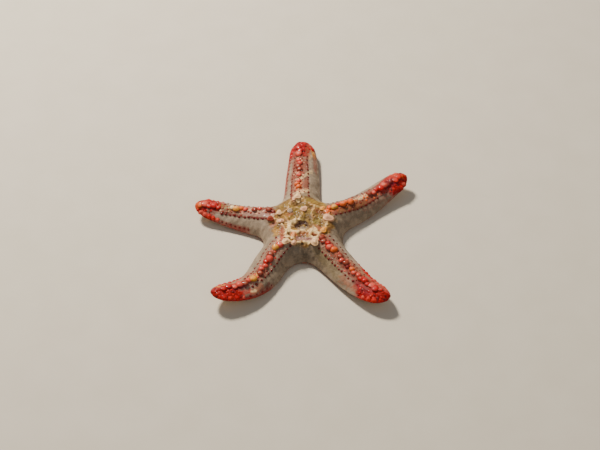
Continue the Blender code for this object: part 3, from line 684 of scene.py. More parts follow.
# ---- painted marks --------------------------------------------------------------------------
STAINS = {
    **TINTS,
    "mauve": (0.420, 0.200, 0.160),
    "grey": (0.330, 0.250, 0.180),
    "dark": (0.045, 0.018, 0.014),
    "olive": (0.210, 0.150, 0.030),
    "gold": (0.480, 0.230, 0.045),
    "brown": (0.250, 0.042, 0.022),
    "ash": (0.500, 0.380, 0.270),
    "terracotta": (0.420, 0.120, 0.055),
    "wine": (0.130, 0.004, 0.018),
}
MARKS = (
    # for each arm, and last for the disc: from place to place in millimetres, half width, stain
    # and strength. A place is station and sideways distance on an arm, x and y on the disc.
    (
        (24, 4.0, 33, 4.5, 2.2, "cream", 0.9), (33, 4.0, 38, -4, 2.2, "cream", 0.9),
        (40, 3.5, 50, 3.5, 3.4, "orange", 0.75), (39, -3, 54, -3.5, 2.4, "brown", 0.7),
        (38, 8.0, 58, 8.0, 2.0, "brown", 0.5), (51, 3.5, 58, 0.5, 2.4, "cream", 0.9),
        (57, -1, 67, -8, 1.8, "cream", 0.6), (54, -2, 58, -4, 0.9, "dark", 0.6),
        (61, 3, 78, 2.5, 5.5, "brown", 0.80), (63, 4, 76, 3.5, 2.2, "pink", 0.45),
        (79, 3, 84, 4, 2.4, "blush", 0.7), (84, -6, 88, -8, 1.6, "cream", 0.6),
        (88, -11, 99, -9, 1.8, "amber", 0.85), (87, -4, 97, -5, 2.6, "brown", 0.6),
        (86, 2, 99, 1, 3.0, "crimson", 0.35), (86, -5.5, 99, -5.5, 2.4, "terracotta", 0.55),
        (84, 8.5, 92, 8.5, 1.6, "grey", 0.45), (28, 10.5, 50, 10.0, 0.9, "crimson", 0.7),
        (70, -12, 90, -11, 2.0, "brown", 0.6), (58, 9.5, 90, 8.0, 2.4, "brown", 0.65),
        (70, -4, 84, -4, 2.0, "rust", 0.5),
    ),
    (
        (27, 1.0, 52, 1.5, 2.6, "rust", 0.6), (28, 1.0, 50, 1.0, 1.8, "orange", 0.5),
        (27, -4, 52, -5, 3.2, "rust", 0.75), (52, 1.5, 72, 1.0, 2.3, "cream", 0.85),
        (50, -4.2, 76, -4.5, 2.6, "rust", 0.75), (72, 2, 92, 4, 4.2, "brown", 0.6),
        (60, -9, 84, -9, 3.0, "brown", 0.3), (92, 0, 101, -1, 4.6, "wine", 0.75),
        (104, 4, 108, 0, 3.0, "orange", 0.45), (80, -7, 92, -7, 2.2, "grey", 0.30),
        (36, -5.5, 62, -6.0, 2.4, "olive", 0.35), (40, -5.0, 64, -6.0, 2.4, "brown", 0.30),
    ),
    (
        (28, 0, 72, -1, 4.2, "brown", 0.75), (51, -1, 62, 0, 2.0, "terracotta", 0.6),
        (62, -1, 70, -1, 2.4, "crimson", 0.7), (72, 0, 84, 0, 2.4, "terracotta", 0.7),
        (66, 7, 104, 7, 6.0, "terracotta", 0.60), (72, 0, 94, -2, 4.6, "brown", 0.7),
        (84, -6, 98, -6, 3.0, "wine", 0.5), (70, -10, 88, -10, 2.4, "terracotta", 0.5),
        (34, -10.5, 66, -11, 3.4, "olive", 0.28), (36, 10, 66, 10, 3.4, "ash", 0.40),
    ),
    (
        (28, -2, 40, 0, 2.8, "blush", 0.7), (41, 1, 47, 1, 2.0, "olive", 0.6),
        (46, 2, 75, 1.0, 4.0, "brown", 0.8), (62, 2, 64, 2, 1.4, "cream", 0.8),
        (75, -1, 82, -2, 2.6, "amber", 0.7), (83, -1, 98, -1, 3.4, "brown", 0.6),
        (76, -9, 104, -8, 5.0, "terracotta", 0.45), (82, 6, 92, 6, 2.6, "mauve", 0.5),
        (101, -9, 107, -4, 2.2, "amber", 0.6), (92, 3.4, 101, 3.4, 2.2, "wine", 0.5),
        (80, 6.5, 96, 6.2, 1.9, "grey", 0.6), (72, 12, 86, 12, 1.0, "crimson", 0.6),
        (80, 9.0, 90, 11.0, 2.4, "terracotta", 0.7), (91, 9.5, 96, 9.0, 2.6, "red", 0.7),
        (86.5, 10.5, 90, 10.5, 1.1, "cream", 0.8), (30, 5.5, 62, 6.0, 2.6, "grey", 0.55),
    ),
    (
        (28, 1, 56, 1.5, 3.4, "mauve", 0.7), (30, -4, 40, -4.2, 2.6, "brown", 0.85),
        (42, -2.5, 57, -2, 2.4, "blush", 0.7), (58, 0, 68, 0.5, 2.6, "orange", 0.6),
        (70, 0, 78, -2, 3.2, "olive", 0.75), (97, 2, 101, 0, 3.4, "orange", 0.6),
        (84, 4.5, 94, 4.5, 2.4, "wine", 0.40), (78, 7.5, 88, 6.5, 2.0, "grey", 0.6),
        (57, 6, 76, 5.5, 1.5, "crimson", 0.7), (27, 6, 50, 6, 1.1, "crimson", 0.8),
        (48, 13.5, 62, 13.0, 0.9, "brown", 0.8), (62, 13.0, 78, 11.4, 0.9, "brown", 0.8),
        (36, 10, 80, 9.5, 3.4, "ash", 0.35),
    ),
    (
        (-2.0, -9.6, 2.0, -9.6, 2.2, "grey", 0.8), (-5.8, -8.0, -3.2, -3.6, 1.6, "dark", 0.9),
        (-2.6, -3.4, 1.0, -2.6, 2.6, "dark", 0.92), (1.0, -2.6, 4.6, -5.6, 1.5, "dark", 0.8),
        (0, -27.6, 0, -28.8, 1.3, "dark", 0.8), (-4, -22.4, 7, -23.8, 2.4, "mauve", 0.8),
        (-8.4, -18.2, -8.4, -18.6, 2.6, "orange", 0.65),
        (-12.4, -17.4, -11.8, -18.8, 1.2, "dark", 0.7),
        (10.0, -18.0, 10.2, -19.2, 2.0, "brown", 0.9), (6.2, -17.8, 6.6, -18.6, 1.6, "gold", 0.8),
        (9.8, -1, 11.6, -3, 3.0, "olive", 0.8), (14, 12, 19, 9, 2.6, "brown", 0.5),
        (-27.5, -4.6, -25.6, -5.0, 1.8, "mauve", 0.9), (-25, -11, -22, -16, 2.8, "gold", 0.8),
        (-17.5, -8.5, -18.6, -22.0, 1.8, "brown", 0.7), (-18.6, -22, -19.0, -26, 1.8, "red", 0.5),
        (-13, 8, -17, 3, 3.5, "gold", 0.6), (-11.5, 9.5, -11.5, 9.8, 1.6, "brown", 0.7),
        (17.3, -25, 18.2, -27.5, 1.5, "grey", 0.8), (17.2, -21, 19.8, -24.5, 1.4, "brown", 0.8),
        (25, 12, 31, 14, 2.6, "orange", 0.7), (-26, 8, -32, 9, 2.4, "brown", 0.6),
        (-9.5, 24, -9.8, 33, 1.4, "brown", 0.7), (-7.2, 24, -7.0, 29, 1.6, "blush", 0.7),
        (-1, -16.4, 4, -17.0, 2.0, "terracotta", 0.65),
        (12.5, -7.5, 16.5, -11.5, 2.4, "terracotta", 0.6),
        (-18.8, -12, -18.6, -20, 2.2, "terracotta", 0.6),
        (-24, -2, -28.5, -6, 2.0, "terracotta", 0.5),
        (-12.5, 6.5, -10.5, 9, 1.8, "terracotta", 0.55),
        (18, -17.5, 20.5, -20, 2.0, "terracotta", 0.6), (5.5, 6, 8.5, 2, 2.0, "dark", 0.45),
        (8, -4, 10.5, -9, 1.8, "dark", 0.45), (-3, 6, 0.5, 3.5, 1.4, "dark", 0.40),
        (14, -4, 15.5, 2, 1.8, "olive", 0.7),
    ),
)
MARK_EDGE = (0.55, 1.35)    # shares of its half width between which a mark fades
MARK_RAGGED_LENGTH = 0.0030             # wavelength of its uneven outline
BLANK = 0.3                 # the stain where there is no mark


def painted(plan):
    """Colour and strength of the marks painted on the skin, one over the other."""
    arm, station, out = locate(plan)
    ragged = 1 + RAGGED * ripples(plan, MARK_RAGGED_LENGTH, 31)
    colour, strength = np.full((len(plan), 3), BLANK), np.zeros(len(plan))
    for owner, marks in enumerate(MARKS):
        if owner < ARM_COUNT:
            own = np.flatnonzero(arm == owner)
            spot = np.stack([station[own], out[own]], axis=1)
        else:
            own = np.flatnonzero(np.abs(plan).max(axis=1) < CROWN_REACH)
            spot = plan[own]
        for *line, width, stain, share in marks:
            away = along_line(spot, *line) * ragged[own]
            fade = smooth(away, width * MM * MARK_EDGE[0], width * MM * MARK_EDGE[1])
            over = share * (1 - fade)
            weight = over / np.maximum(over + strength[own] * (1 - over), TINY)
            colour[own] += (np.array(STAINS[stain]) - colour[own]) * weight[:, None]
            strength[own] += (1 - strength[own]) * over
    return colour, strength


# ---- mesh helpers ---------------------------------------------------------------------------
UV_CELL = 0.47              # half width of each shape's patch on the map, as a share of its cell
SLANT = (0.31, 0.87, 0.38)  # a direction that no knob points in
SMALLER_LUMPS = 0.7
FLARE = (0.28, 0.16)        # how much the foot of a knob spreads, and up to which height
FOOT_SPREAD = 1.32


def ring_faces(rings, segments):
    """Quads between rings of points, outermost first, and a fan round the one last point."""
    faces = []
    for ring in range(rings):
        for step in range(segments):
            here = ring * segments + step
            after = ring * segments + (step + 1) % segments
            if ring == rings - 1:
                faces.append((here, after, rings * segments))
            else:
                faces.append((here, after, after + segments, here + segments))
    return faces


def disc_grid(rings, segments):
    """Share of the radius and angle of the points of a disc, but for the one in the middle."""
    angle = np.arange(segments) * math.tau / segments
    return np.meshgrid(np.linspace(1, 0, rings + 1)[:-1], angle, indexing="ij")


def disc_points(away, turn, level, middle):
    """Points of a disc at their distances, angles and levels, with the middle one last."""
    points = np.stack([away * np.cos(turn), away * np.sin(turn), level], axis=-1)
    return np.concatenate([points.reshape(-1, 3), [[0, 0, middle]]])


def make_object(name, points, faces, material, values=None, colours=None, uv=None):
    """A shaded mesh from arrays, in the row frame, riding on the body."""
    mesh = bpy.data.meshes.new(name)
    mesh.from_pydata((points + MIDDLE).tolist(), [], faces)
    mesh.shade_smooth()
    for title, value in (values or {}).items():
        mesh.attributes.new(title, "FLOAT", "POINT").data.foreach_set("value", value)
    for title, value in (colours or {}).items():
        rgba = np.column_stack([value, np.ones(len(value))])
        layer = mesh.attributes.new(title, "FLOAT_COLOR", "POINT")
        layer.data.foreach_set("color", rgba.ravel())
    if uv is not None:
        corners = np.empty(len(mesh.loops), int)
        mesh.loops.foreach_get("vertex_index", corners)
        mesh.uv_layers.new(name="OFBake").data.foreach_set("uv", uv[corners].ravel())
    mesh.materials.append(material)
    made = bpy.data.objects.new(name, mesh)
    bpy.context.scene.collection.objects.link(made)
    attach(made, BODY)
    return made


def turned(feet, normals, radii, heights, profile, segments, lumps=0.06, lean=0.10):
    """Many turned shapes in one set of arrays, each lumpy and leaning in its own way.

    profile is radius and height from foot to top, in shares of each shape's own. It gives the
    points, the faces, how far up its shape each point is and each point's shape.
    """
    count, rings = len(feet), len(profile)
    angle = np.arange(segments) * math.tau / segments
    first = np.cross(normals, SLANT)
    first /= np.linalg.norm(first, axis=1, keepdims=True)
    second = np.cross(normals, first)
    phase = RANDOM.uniform(0, math.tau, (3, count, 1))
    lump = np.cos(2 * angle + phase[0]) + SMALLER_LUMPS * np.cos(3 * angle + phase[1])
    lump = 1 + lumps * lump
    tilt = RANDOM.normal(0, lean, (count, 2))
    radius, height = np.array(profile).T
    wide = radii[:, None, None] * radius[None, :, None] * lump[:, None]
    high = heights[:, None, None] * height[None, :, None]
    high = high * (1 + 0.5 * lumps * np.cos(angle + phase[2])[:, None])
    across = wide * np.cos(angle) + high * tilt[:, 0, None, None]
    along = wide * np.sin(angle) + high * tilt[:, 1, None, None]
    points = (feet[:, None, None] + across[..., None] * first[:, None, None]
              + along[..., None] * second[:, None, None] + high[..., None] * normals[:, None, None])
    top = points[:, -1].mean(axis=1, keepdims=True)
    points = np.concatenate([points[:, :-1].reshape(count, -1, 3), top], axis=1)
    body = rings - 1
    size = body * segments + 1
    one = ring_faces(body, segments)
    faces = [tuple(index + size * number for index in face)
             for number in range(count) for face in one]
    run = np.concatenate([[0], np.hypot(np.diff(radius), np.diff(height)).cumsum()])
    run = run / run[-1]
    rise = np.concatenate([np.repeat(run[:-1], segments), [1.0]])
    spot = np.concatenate([np.stack([np.cos(angle), np.sin(angle)], axis=1)] * body + [[[0, 0]]])
    columns = math.ceil(math.sqrt(count))
    cell = np.stack(np.divmod(np.arange(count), columns), axis=1) + 0.5
    uv = (cell[:, None] + UV_CELL * (1 - rise[:, None]) * spot) / columns
    owner = np.repeat(np.arange(count), size)
    return points.reshape(-1, 3), faces, np.tile(rise, count), owner, uv.reshape(-1, 2)


def dome(blunt, steps, foot=-0.35):
    """Profile of a knob: a spread foot below the skin, then a rounded top."""
    turns = np.linspace(0, math.pi / 2, steps)
    flare = 1 + FLARE[0] * np.exp(-np.sin(turns) / FLARE[1])
    side = np.cos(turns) ** blunt * flare
    return [(FOOT_SPREAD, foot), *zip(side, np.sin(turns))]


def bell(steps, spread=1.25, foot=-0.60):
    """Profile of a bead: a soft swelling with no clear foot."""
    across = np.linspace(spread, 0.0, steps)
    return [(spread, foot), *zip(across, 0.5 + 0.5 * np.cos(across / spread * math.pi))]


def set_knobs(name, knobs, material, segments, profile, slot, **shape):
    """Builds a joined set of knobs on the skin. knobs has plan, radius, height and tint rows."""
    points, normals = stand(knobs[:, :2])
    feet = points + normals * skin_relief(points)[:, None]
    made = turned(feet, normals, knobs[:, 2], knobs[:, 3], profile, segments, **shape)
    points, faces, rise, owner, uv = made
    mood = RANDOM.uniform(0, 1, len(knobs))[owner]
    piece = make_object(name, points, faces, material, {"rise": rise, "mood": mood},
                        {"tint": knobs[owner, 4:7]}, uv)


# ---- the skin -------------------------------------------------------------------------------
BACK_STEPS = 40             # quads from ridge to edge over the back
SOLE_STEPS = 14             # the same underneath
SOLE_CROWDING = 1.4         # crowds them towards the furrow
STATION_STEP = 0.00075
END_STEPS = 26              # rows over the rounded end of an arm
FINE_RADIUS = 0.0310        # the worn crown of the disc is twice as fine as the rest
EDGE_FADE = 0.0010          # the relief fades out this close to the outline
WELD = 4e-6                 # points closer than this become one
LEAST_WIDTH = 0.0001
BACK_ISLAND = (0.33, 3.05)  # centre and scale of the back's part of the map
SOLE_ISLAND = (0.825, 1.62) # the same of the underside's
FLANK_SPREAD = 0.35         # the map draws the steep flanks this much wider
GRAIN_LENGTH = 0.0035       # wavelengths of the fine and the slow unevenness of the finishes
SLOW_LENGTH = 0.0090
# flanks: how pale they are painted on each arm, which is painted light and shade: palest on the
# arms that point towards the key lamp, darkest on the one that points away; the painted shade of
# the web in front, which faces away from the key lamp, by middle, half width and how much darker
# it is
FLANK_PAINTED_LIGHT = (0.76, 0.52, 0.42, 0.55, 0.82)
FRONT_WEB_SHADE = ((0.002, -0.036), 0.014, 0.28)
# brown crests: distances from the middle of the disc where they begin, how they end across the
# dotted rows and how far this end strays
BAND_BEGINS = (0.026, 0.036)
BAND_TURN = (-0.0014, 0.0006)
BAND_GRAIN = 0.0004
# dark lines along the dotted rows: strength on each arm, distances from the middle where they
# begin, shares of the reach where they end
LINE_STRENGTH = (0.5, 0.5, 0.15, 0.2, 0.6)
LINE_BEGINS = (0.028, 0.036)
LINE_ENDS = (0.8, 0.9)
LINE_HALF_WIDTH = 0.0009
# red tips: how they set in, in shares of the reach about RED_START, and how far this strays
RED_TURN = (-0.03, 0.03)
RED_GRAIN = (0.012, 0.015)
# red rim: its full and its fading width, distances from the middle where it begins, how it sets
# in about EDGE_LINE and with which strength, how it ripens about BEAD_START; underneath its
# fading width and strength
RIM_CORE = 0.0004
RIM_HALF_WIDTH = 0.0014
RIM_BEGINS = (0.040, 0.050)
RIM_TURN = (-0.04, 0.04)
RIM_FIRST = 0.7
RIM_RIPENS = (-0.05, 0.10)
SOLE_RIM = (0.0022, 0.8)
SOLE_TURN = (0.0006, 0.0035)            # the pale underside sets in this far from the outline
# the disc: where its own colour ends and how far this strays, where the painted shade of its
# hollows ends, strength of its worn pale skin and how much it varies, and middle, half width,
# strength and variation of the film of algae
CROWN_ENDS = (0.0275, 0.0315)
CROWN_STRAY = 0.0015
SHADED_HOLLOWS_END = (0.028, 0.033)
WORN_GRAIN = (0.85, 0.25)
FILM = ((0.003, 0.014), 0.020, 0.75, 0.4)
# knobs: a knob with more green than PALE_KNOB has a pale ring, the others flush the skin; both
# are followed out to KNOB_RING of its radii
KNOB_RING = 4
PALE_KNOB = 0.4
FLUSH_WIDTH = 1.6


def cross_lines(arm, side, stations, places):
    """Plan points from the ridge out to the edge at stations beyond the web."""
    web_station = WEB_RADIUS * math.cos(half_gap(arm, side))
    slant = np.maximum(0.0, 1 - (stations - RIDGE_START) / (DISC_END - RIDGE_START))
    middle = ridge(arm, stations)
    outer = edge(arm, side, stations + (web_station - RIDGE_START) * slant)
    return middle[:, None] + (outer - middle)[:, None] * places[None, :, None]


def web_patch(arm, places):
    """Plan points between an arm's ridge and its left neighbour's, as a square grid."""
    other = (arm - 1) % ARM_COUNT
    own, near = np.meshgrid(places, places, indexing="ij")
    outer = np.maximum(own, near)
    share = (np.minimum(own, near) / np.where(outer > 0, outer, 1))[..., None]
    lead = np.where((own >= near)[..., None], ridge(arm, RIDGE_START * outer),
                    ridge(other, RIDGE_START * outer))
    return lead * (1 - share) + web_direction(arm, 1) * WEB_RADIUS * outer[..., None] * share


def star_grids(places):
    """Plan points of the whole star in grids: for each arm its left web, then the arm itself."""
    grids = []
    for arm in range(ARM_COUNT):
        rounded = REACH[arm] - END_LENGTH
        straight = np.linspace(RIDGE_START, rounded, round((rounded - RIDGE_START) / STATION_STEP))
        turns = np.linspace(0, math.pi / 2, END_STEPS)[1:]
        stations = np.concatenate([straight, rounded + END_LENGTH * np.sin(turns)])
        right = cross_lines(arm, -1, stations, places)
        left = cross_lines(arm, 1, stations, places)
        grids += [web_patch(arm, places), np.concatenate([right[:, :0:-1], left], axis=1)]
    return grids


def skin_mesh():
    """The whole skin, welded, before its relief. under is 1 on the points of the underside."""
    even = np.linspace(0, 1, BACK_STEPS + 1)
    sheets = [(0.5 * even + 0.5 * np.sin(even * math.pi / 2), back_height, 0)]
    even = np.linspace(0, 1, SOLE_STEPS + 1)
    sheets.append((even ** SOLE_CROWDING, sole_height, 1))
    points, quads, under, start = [], [], [], 0
    for places, height, flag in sheets:
        for grid in star_grids(places):
            rows, columns = grid.shape[:2]
            flat = grid.reshape(-1, 2)
            points.append(np.column_stack([flat, height(flat)]))
            under.append(np.full(len(flat), float(flag)))
            first = np.arange(rows * columns).reshape(rows, columns)[:-1, :-1].ravel() + start
            loop = np.stack([first, first + columns, first + columns + 1, first + 1], axis=1)
            quads.append(loop[:, ::-1] if flag else loop)
            start += len(flat)
    mesh = bpy.data.meshes.new("raw_skin")
    mesh.from_pydata(np.concatenate(points).tolist(), [], np.concatenate(quads).tolist())
    mesh.attributes.new("under", "FLOAT", "POINT").data.foreach_set("value", np.concatenate(under))
    shape = bmesh.new()
    shape.from_mesh(mesh)
    bmesh.ops.remove_doubles(shape, verts=shape.verts, dist=WELD)
    bmesh.ops.dissolve_degenerate(shape, edges=shape.edges, dist=TINY)
    fine = [line for line in shape.edges
            if all(corner.co.xy.length < FINE_RADIUS and corner.co.z > DISC_HEIGHT / 2
                   for corner in line.verts)]
    bmesh.ops.subdivide_edges(shape, edges=fine, cuts=1, use_grid_fill=True)
    bmesh.ops.recalc_face_normals(shape, faces=shape.faces)
    shape.to_mesh(mesh)
    shape.free()
    return mesh


def read(mesh, what):
    """Places or normals of a mesh's points as an array."""
    values = np.empty(len(mesh.vertices) * 3)
    mesh.vertices.foreach_get(what, values)
    return values.reshape(-1, 3)


def skin_masks(points, feet, knobs):
    """Where each finish of the skin shows, from 0 to 1."""
    plan = points[:, :2]
    arm, station, out = locate(plan)
    share = station / REACH[arm]
    away = np.linalg.norm(plan, axis=1)
    inside = inset(plan)
    grain, slow = ripples(plan, GRAIN_LENGTH, 5), ripples(plan, SLOW_LENGTH, 6)
    from_crest = np.abs(out - crest(arm, station) * CREST_PULL)
    row = row_out(arm, station)
    masks = {}
    masks["band"] = smooth(row - from_crest + grain * BAND_GRAIN, *BAND_TURN) \
        * smooth(away, *BAND_BEGINS)
    masks["line"] = hump(from_crest - row, LINE_HALF_WIDTH) * smooth(away, *LINE_BEGINS) \
        * np.array(LINE_STRENGTH)[arm] * (1 - smooth(share, *LINE_ENDS))
    start = np.array(RED_START)[arm]
    low = np.abs(out) / np.maximum(inside + np.abs(out), LEAST_WIDTH)
    right = (out < 0).astype(int)
    into_red = share - start - np.array(RED_SLANT)[arm, right] * low ** 2
    into_red += RED_GRAIN[0] * grain + RED_GRAIN[1] * slow
    tipward = smooth(into_red, *RED_TURN)
    ripe_from, line_from = np.array(BEAD_START)[arm, right], np.array(EDGE_LINE)[arm, right]
    rim = hump(np.maximum(0, inside - RIM_CORE), RIM_HALF_WIDTH)
    rim *= RIM_FIRST * smooth(share - line_from, *RIM_TURN) \
        + (1 - RIM_FIRST) * smooth(share - ripe_from, *RIM_RIPENS)
    masks["red"] = np.maximum(tipward, rim * smooth(away, *RIM_BEGINS))
    pale, flush = np.zeros(len(plan)), np.zeros(len(plan))
    near = away < CROWN_REACH
    worn, hollow = crown_relief(plan[near])[1:]
    pale[near] = worn * (WORN_GRAIN[0] + WORN_GRAIN[1] * grain[near])
    pale *= 1 - smooth(away, *CROWN_FADE)
    # painted shade in the hollows of the crown, by their depth, fading out towards the arms
    masks["hollow"] = np.zeros(len(plan))
    masks["hollow"][near] = hollow * (1 - smooth(away[near], *SHADED_HOLLOWS_END))
    for number, near, distance in close_to(points, feet, knobs[:, 2] * KNOB_RING):
        target, width = (pale, PALE_WIDTH) if knobs[number, 5] > PALE_KNOB else (flush, FLUSH_WIDTH)
        target[near] = np.maximum(target[near], hump(distance, knobs[number, 2] * width))
    masks["worn"] = np.clip(pale, 0, 1)
    masks["flush"] = np.clip(flush, 0, 1)
    masks["crown"] = 1 - smooth(away + CROWN_STRAY * slow, *CROWN_ENDS)
    film = hump(np.linalg.norm(plan - FILM[0], axis=1), FILM[1])
    masks["film"] = np.clip(film * (FILM[2] + FILM[3] * slow), 0, 1)
    # painted light and shade: flanks paler on the arms that point towards the key lamp, darker on
    # those away from it, and darker on the web in front
    front_shade = hump(np.linalg.norm(plan - FRONT_WEB_SHADE[0], axis=1), FRONT_WEB_SHADE[1])
    masks["painted_light_and_tone"] = np.clip(own_value(plan, FLANK_PAINTED_LIGHT) - FRONT_WEB_SHADE[2] * front_shade, 0, 1)
    return masks


def make_skin(material, feet, knobs):
    """The one skin over the disc, arms and tips, with its finishes as values on its points."""
    raw = skin_mesh()
    points = read(raw, "co")
    normals = read(raw, "normal")
    under = np.empty(len(points))
    raw.attributes["under"].data.foreach_get("value", under)
    above = under < 0.5
    masks = {name: np.zeros(len(points)) for name in
             ("band", "line", "red", "worn", "flush", "crown", "film", "painted_light_and_tone", "hollow")}
    raised = points.copy()
    fade = smooth(inset(points[above, :2]), 0.0, EDGE_FADE)
    raised[above] += normals[above] * (skin_relief(points[above]) * fade)[:, None]
    for name, value in skin_masks(points[above], feet, knobs).items():
        masks[name][above] = value
    sole = ~above
    ripe = inset(points[sole, :2])
    masks["red"][sole] = hump(ripe, SOLE_RIM[0]) * SOLE_RIM[1]
    masks["under"] = np.zeros(len(points))
    masks["under"][sole] = smooth(ripe, *SOLE_TURN)
    stain, masks["mark"] = np.full((len(points), 3), BLANK), np.zeros(len(points))
    stain[above], masks["mark"][above] = painted(points[above, :2])
    faces = [tuple(face.vertices) for face in raw.polygons]
    skin = make_object("skin", raised, faces, material, masks, {"stain": stain})
    spread = points[:, :2] + normals[:, :2] * (FLANK_SPREAD * (DISC_HEIGHT - points[:, 2]))[:, None]
    below = np.array([under[list(face)].mean() > 0.5 for face in faces])
    totals = np.array([len(face) for face in faces])
    corner_below = np.repeat(below, totals)
    corners = np.concatenate([np.array(face) for face in faces])
    uv = spread[corners] * BACK_ISLAND[1] + BACK_ISLAND[0]
    sole_spots = points[corners[corner_below], :2]
    uv[corner_below] = sole_spots * SOLE_ISLAND[1] + SOLE_ISLAND[0]
    skin.data.uv_layers.new(name="OFBake").data.foreach_set("uv", uv.ravel())
    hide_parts("disc", *(f"arm_{arm + 1}" for arm in range(ARM_COUNT)),
                *(f"arm_tip_{arm + 1}" for arm in range(ARM_COUNT)))
    bpy.data.meshes.remove(raw)


# ---- underside ------------------------------------------------------------------------------
FOOT_STEP = 0.0021
FOOT_ENDS = (0.0085, 0.012)             # station of the first, and distance of the last to the tip
FOOT_OUT = 0.0011                       # how far the feet stand from the middle of the furrow
FOOT_RADIUS = 0.00075
FOOT_TILT = 0.16                        # how unevenly they stand
FOOT_ROOT = 0.80                        # share of the furrow's depth where they begin
FOOT_CLEAR = 0.0002                     # how far they end above the floor
FOOT_SHAPE = (
    # radius and height from the root to the sucker, in shares of each foot's own
    (0.9, 0.0), (0.75, 0.25), (0.68, 0.5), (0.66, 0.75), (1.0, 0.86), (1.05, 0.95), (0.8, 1.0),
    (0.3, 0.97), (0.0, 0.95),
)
SPINE_STEP = 0.0014
SPINE_ENDS = (0.0105, 0.009)            # as for the feet
SPINE_OUT = 0.0001                      # how far they stand from the edge of the furrow
SPINE_LEVEL = (0.0009, 0.0005)          # of the lower ones, and how much higher every second is
SPINE_SWAY = 0.12                       # how unevenly they lean along the furrow
SPINE_FALL = -0.22                      # how steeply they point down
SPINE_SIZE = (0.00048, 0.0021)          # radius and length
SPINE_SHAPE = ((0.9, -0.25), (1.0, 0.1), (0.95, 0.5), (0.85, 0.8), (0.55, 0.95), (0.0, 1.0))
JAW_SPINES = range(-3, 4)               # the spines of one jaw, counted from its middle
JAW_STEP = 0.13                         # angle between two of them
JAW_PLACE = (0.92, 0.03)                # shares of the mouth's radius: the middle one, each next
JAW_LEVEL = 0.0013                      # above the floor
JAW_SPREAD = 0.05                       # how much more each next one points up
JAW_SIZE = (0.00055, 0.0038, 0.0004)    # radius, length of the middle one and each next one's loss
JAW_SHAPE = ((0.9, -0.15), (1.0, 0.2), (0.95, 0.6), (0.75, 0.85), (0.45, 0.96), (0.0, 1.0))
MOUTH_FIT = 0.98                        # share of the solid's radius
MOUTH_LEVEL = (0.0009, 0.0021)          # of its skin and of its middle, above the solid's underside
FOLDS = 25
FOLD_DEPTH = 0.00025
PUCKER_DEPTH = 0.0007
JAW_DEPTH = 0.0006                      # of the hollow under each jaw
PLATE_FIT = 0.92                        # share of the solid's radius
PLATE_HEIGHT = 0.0011
PLATE_RIM = 0.0008                      # how far it drops at its rim
PLATE_GROOVE_DEPTH = 0.00030
FINE_DISC = 0.48                        # half width of a small disc's patch on its map


def make_set(name, rows, profile, material, segments, lumps):
    """Straight turned parts in one piece, from rows of foot, direction, radius and length."""
    feet, normals, radii, heights = (np.array(column) for column in zip(*rows))
    normals /= np.linalg.norm(normals, axis=1, keepdims=True)
    points, faces, rise, _, uv = turned(feet, normals, radii, heights, profile, segments,
                                        lumps=lumps, lean=0.0)
    make_object(name, points, faces, material, {"rise": rise}, None, uv)


def along_furrows(ends, step):
    """Arm, side, number, station and narrowing at even steps along both sides of the furrows."""
    for arm in range(ARM_COUNT):
        for side in (1, -1):
            for number, station in enumerate(np.arange(ends[0], REACH[arm] - ends[1], step)):
                yield arm, side, number, station, 1 - GROOVE_TAPER * station / REACH[arm]


def make_tube_feet(material):
    """Two rows of tube feet in each furrow, ending in suckers just clear of the floor."""
    rows = []
    for arm, side, _, station, size in along_furrows(FOOT_ENDS, FOOT_STEP):
        x, y = beside(arm, station + side * FOOT_STEP / 4, side * FOOT_OUT * size)
        lift = floor_lift(np.array([[x, y]]))[0]
        deep = GROOVE_DEPTH * FOOT_ROOT * size
        rows.append(((x, y, lift + deep), (*RANDOM.normal(0, FOOT_TILT, 2), -1.0),
                     FOOT_RADIUS * size, deep - FOOT_CLEAR))
    make_set("tube_feet", rows, FOOT_SHAPE, material, segments=10, lumps=0.03)


def make_furrow_spines(material):
    """The blunt spines that lean over both sides of each furrow."""
    rows = []
    for arm, side, number, station, size in along_furrows(SPINE_ENDS, SPINE_STEP):
        x, y = beside(arm, station, side * (GROOVE_HALF_WIDTH * size + SPINE_OUT))
        low = floor_lift(np.array([[x, y]]))[0] + SPINE_LEVEL[0] + SPINE_LEVEL[1] * (number % 2)
        inward = -side * sideways(arm, station)
        lean = inward + np.array([-inward[1], inward[0]]) * RANDOM.normal(0, SPINE_SWAY)
        rows.append(((x, y, low), (*lean, SPINE_FALL), SPINE_SIZE[0] * size,
                     SPINE_SIZE[1] * size))
    make_set("furrow_spines", rows, SPINE_SHAPE, material, segments=8, lumps=0.05)


def make_mouth_spines(material):
    """Five jaws of spines that point inwards over the mouth."""
    rows = []
    for arm in range(ARM_COUNT):
        middle = math.radians(ARMS[arm][0][0]) + half_gap(arm, 1)
        for number in JAW_SPINES:
            turn, side = middle + number * JAW_STEP, abs(number)
            away = MOUTH_RADIUS * (JAW_PLACE[0] - JAW_PLACE[1] * side)
            rows.append(((away * math.cos(turn), away * math.sin(turn), JAW_LEVEL),
                         (-math.cos(middle), -math.sin(middle), JAW_SPREAD * side),
                         JAW_SIZE[0], JAW_SIZE[1] - JAW_SIZE[2] * side))
    make_set("mouth_spines", rows, JAW_SHAPE, material, segments=10, lumps=0.05)


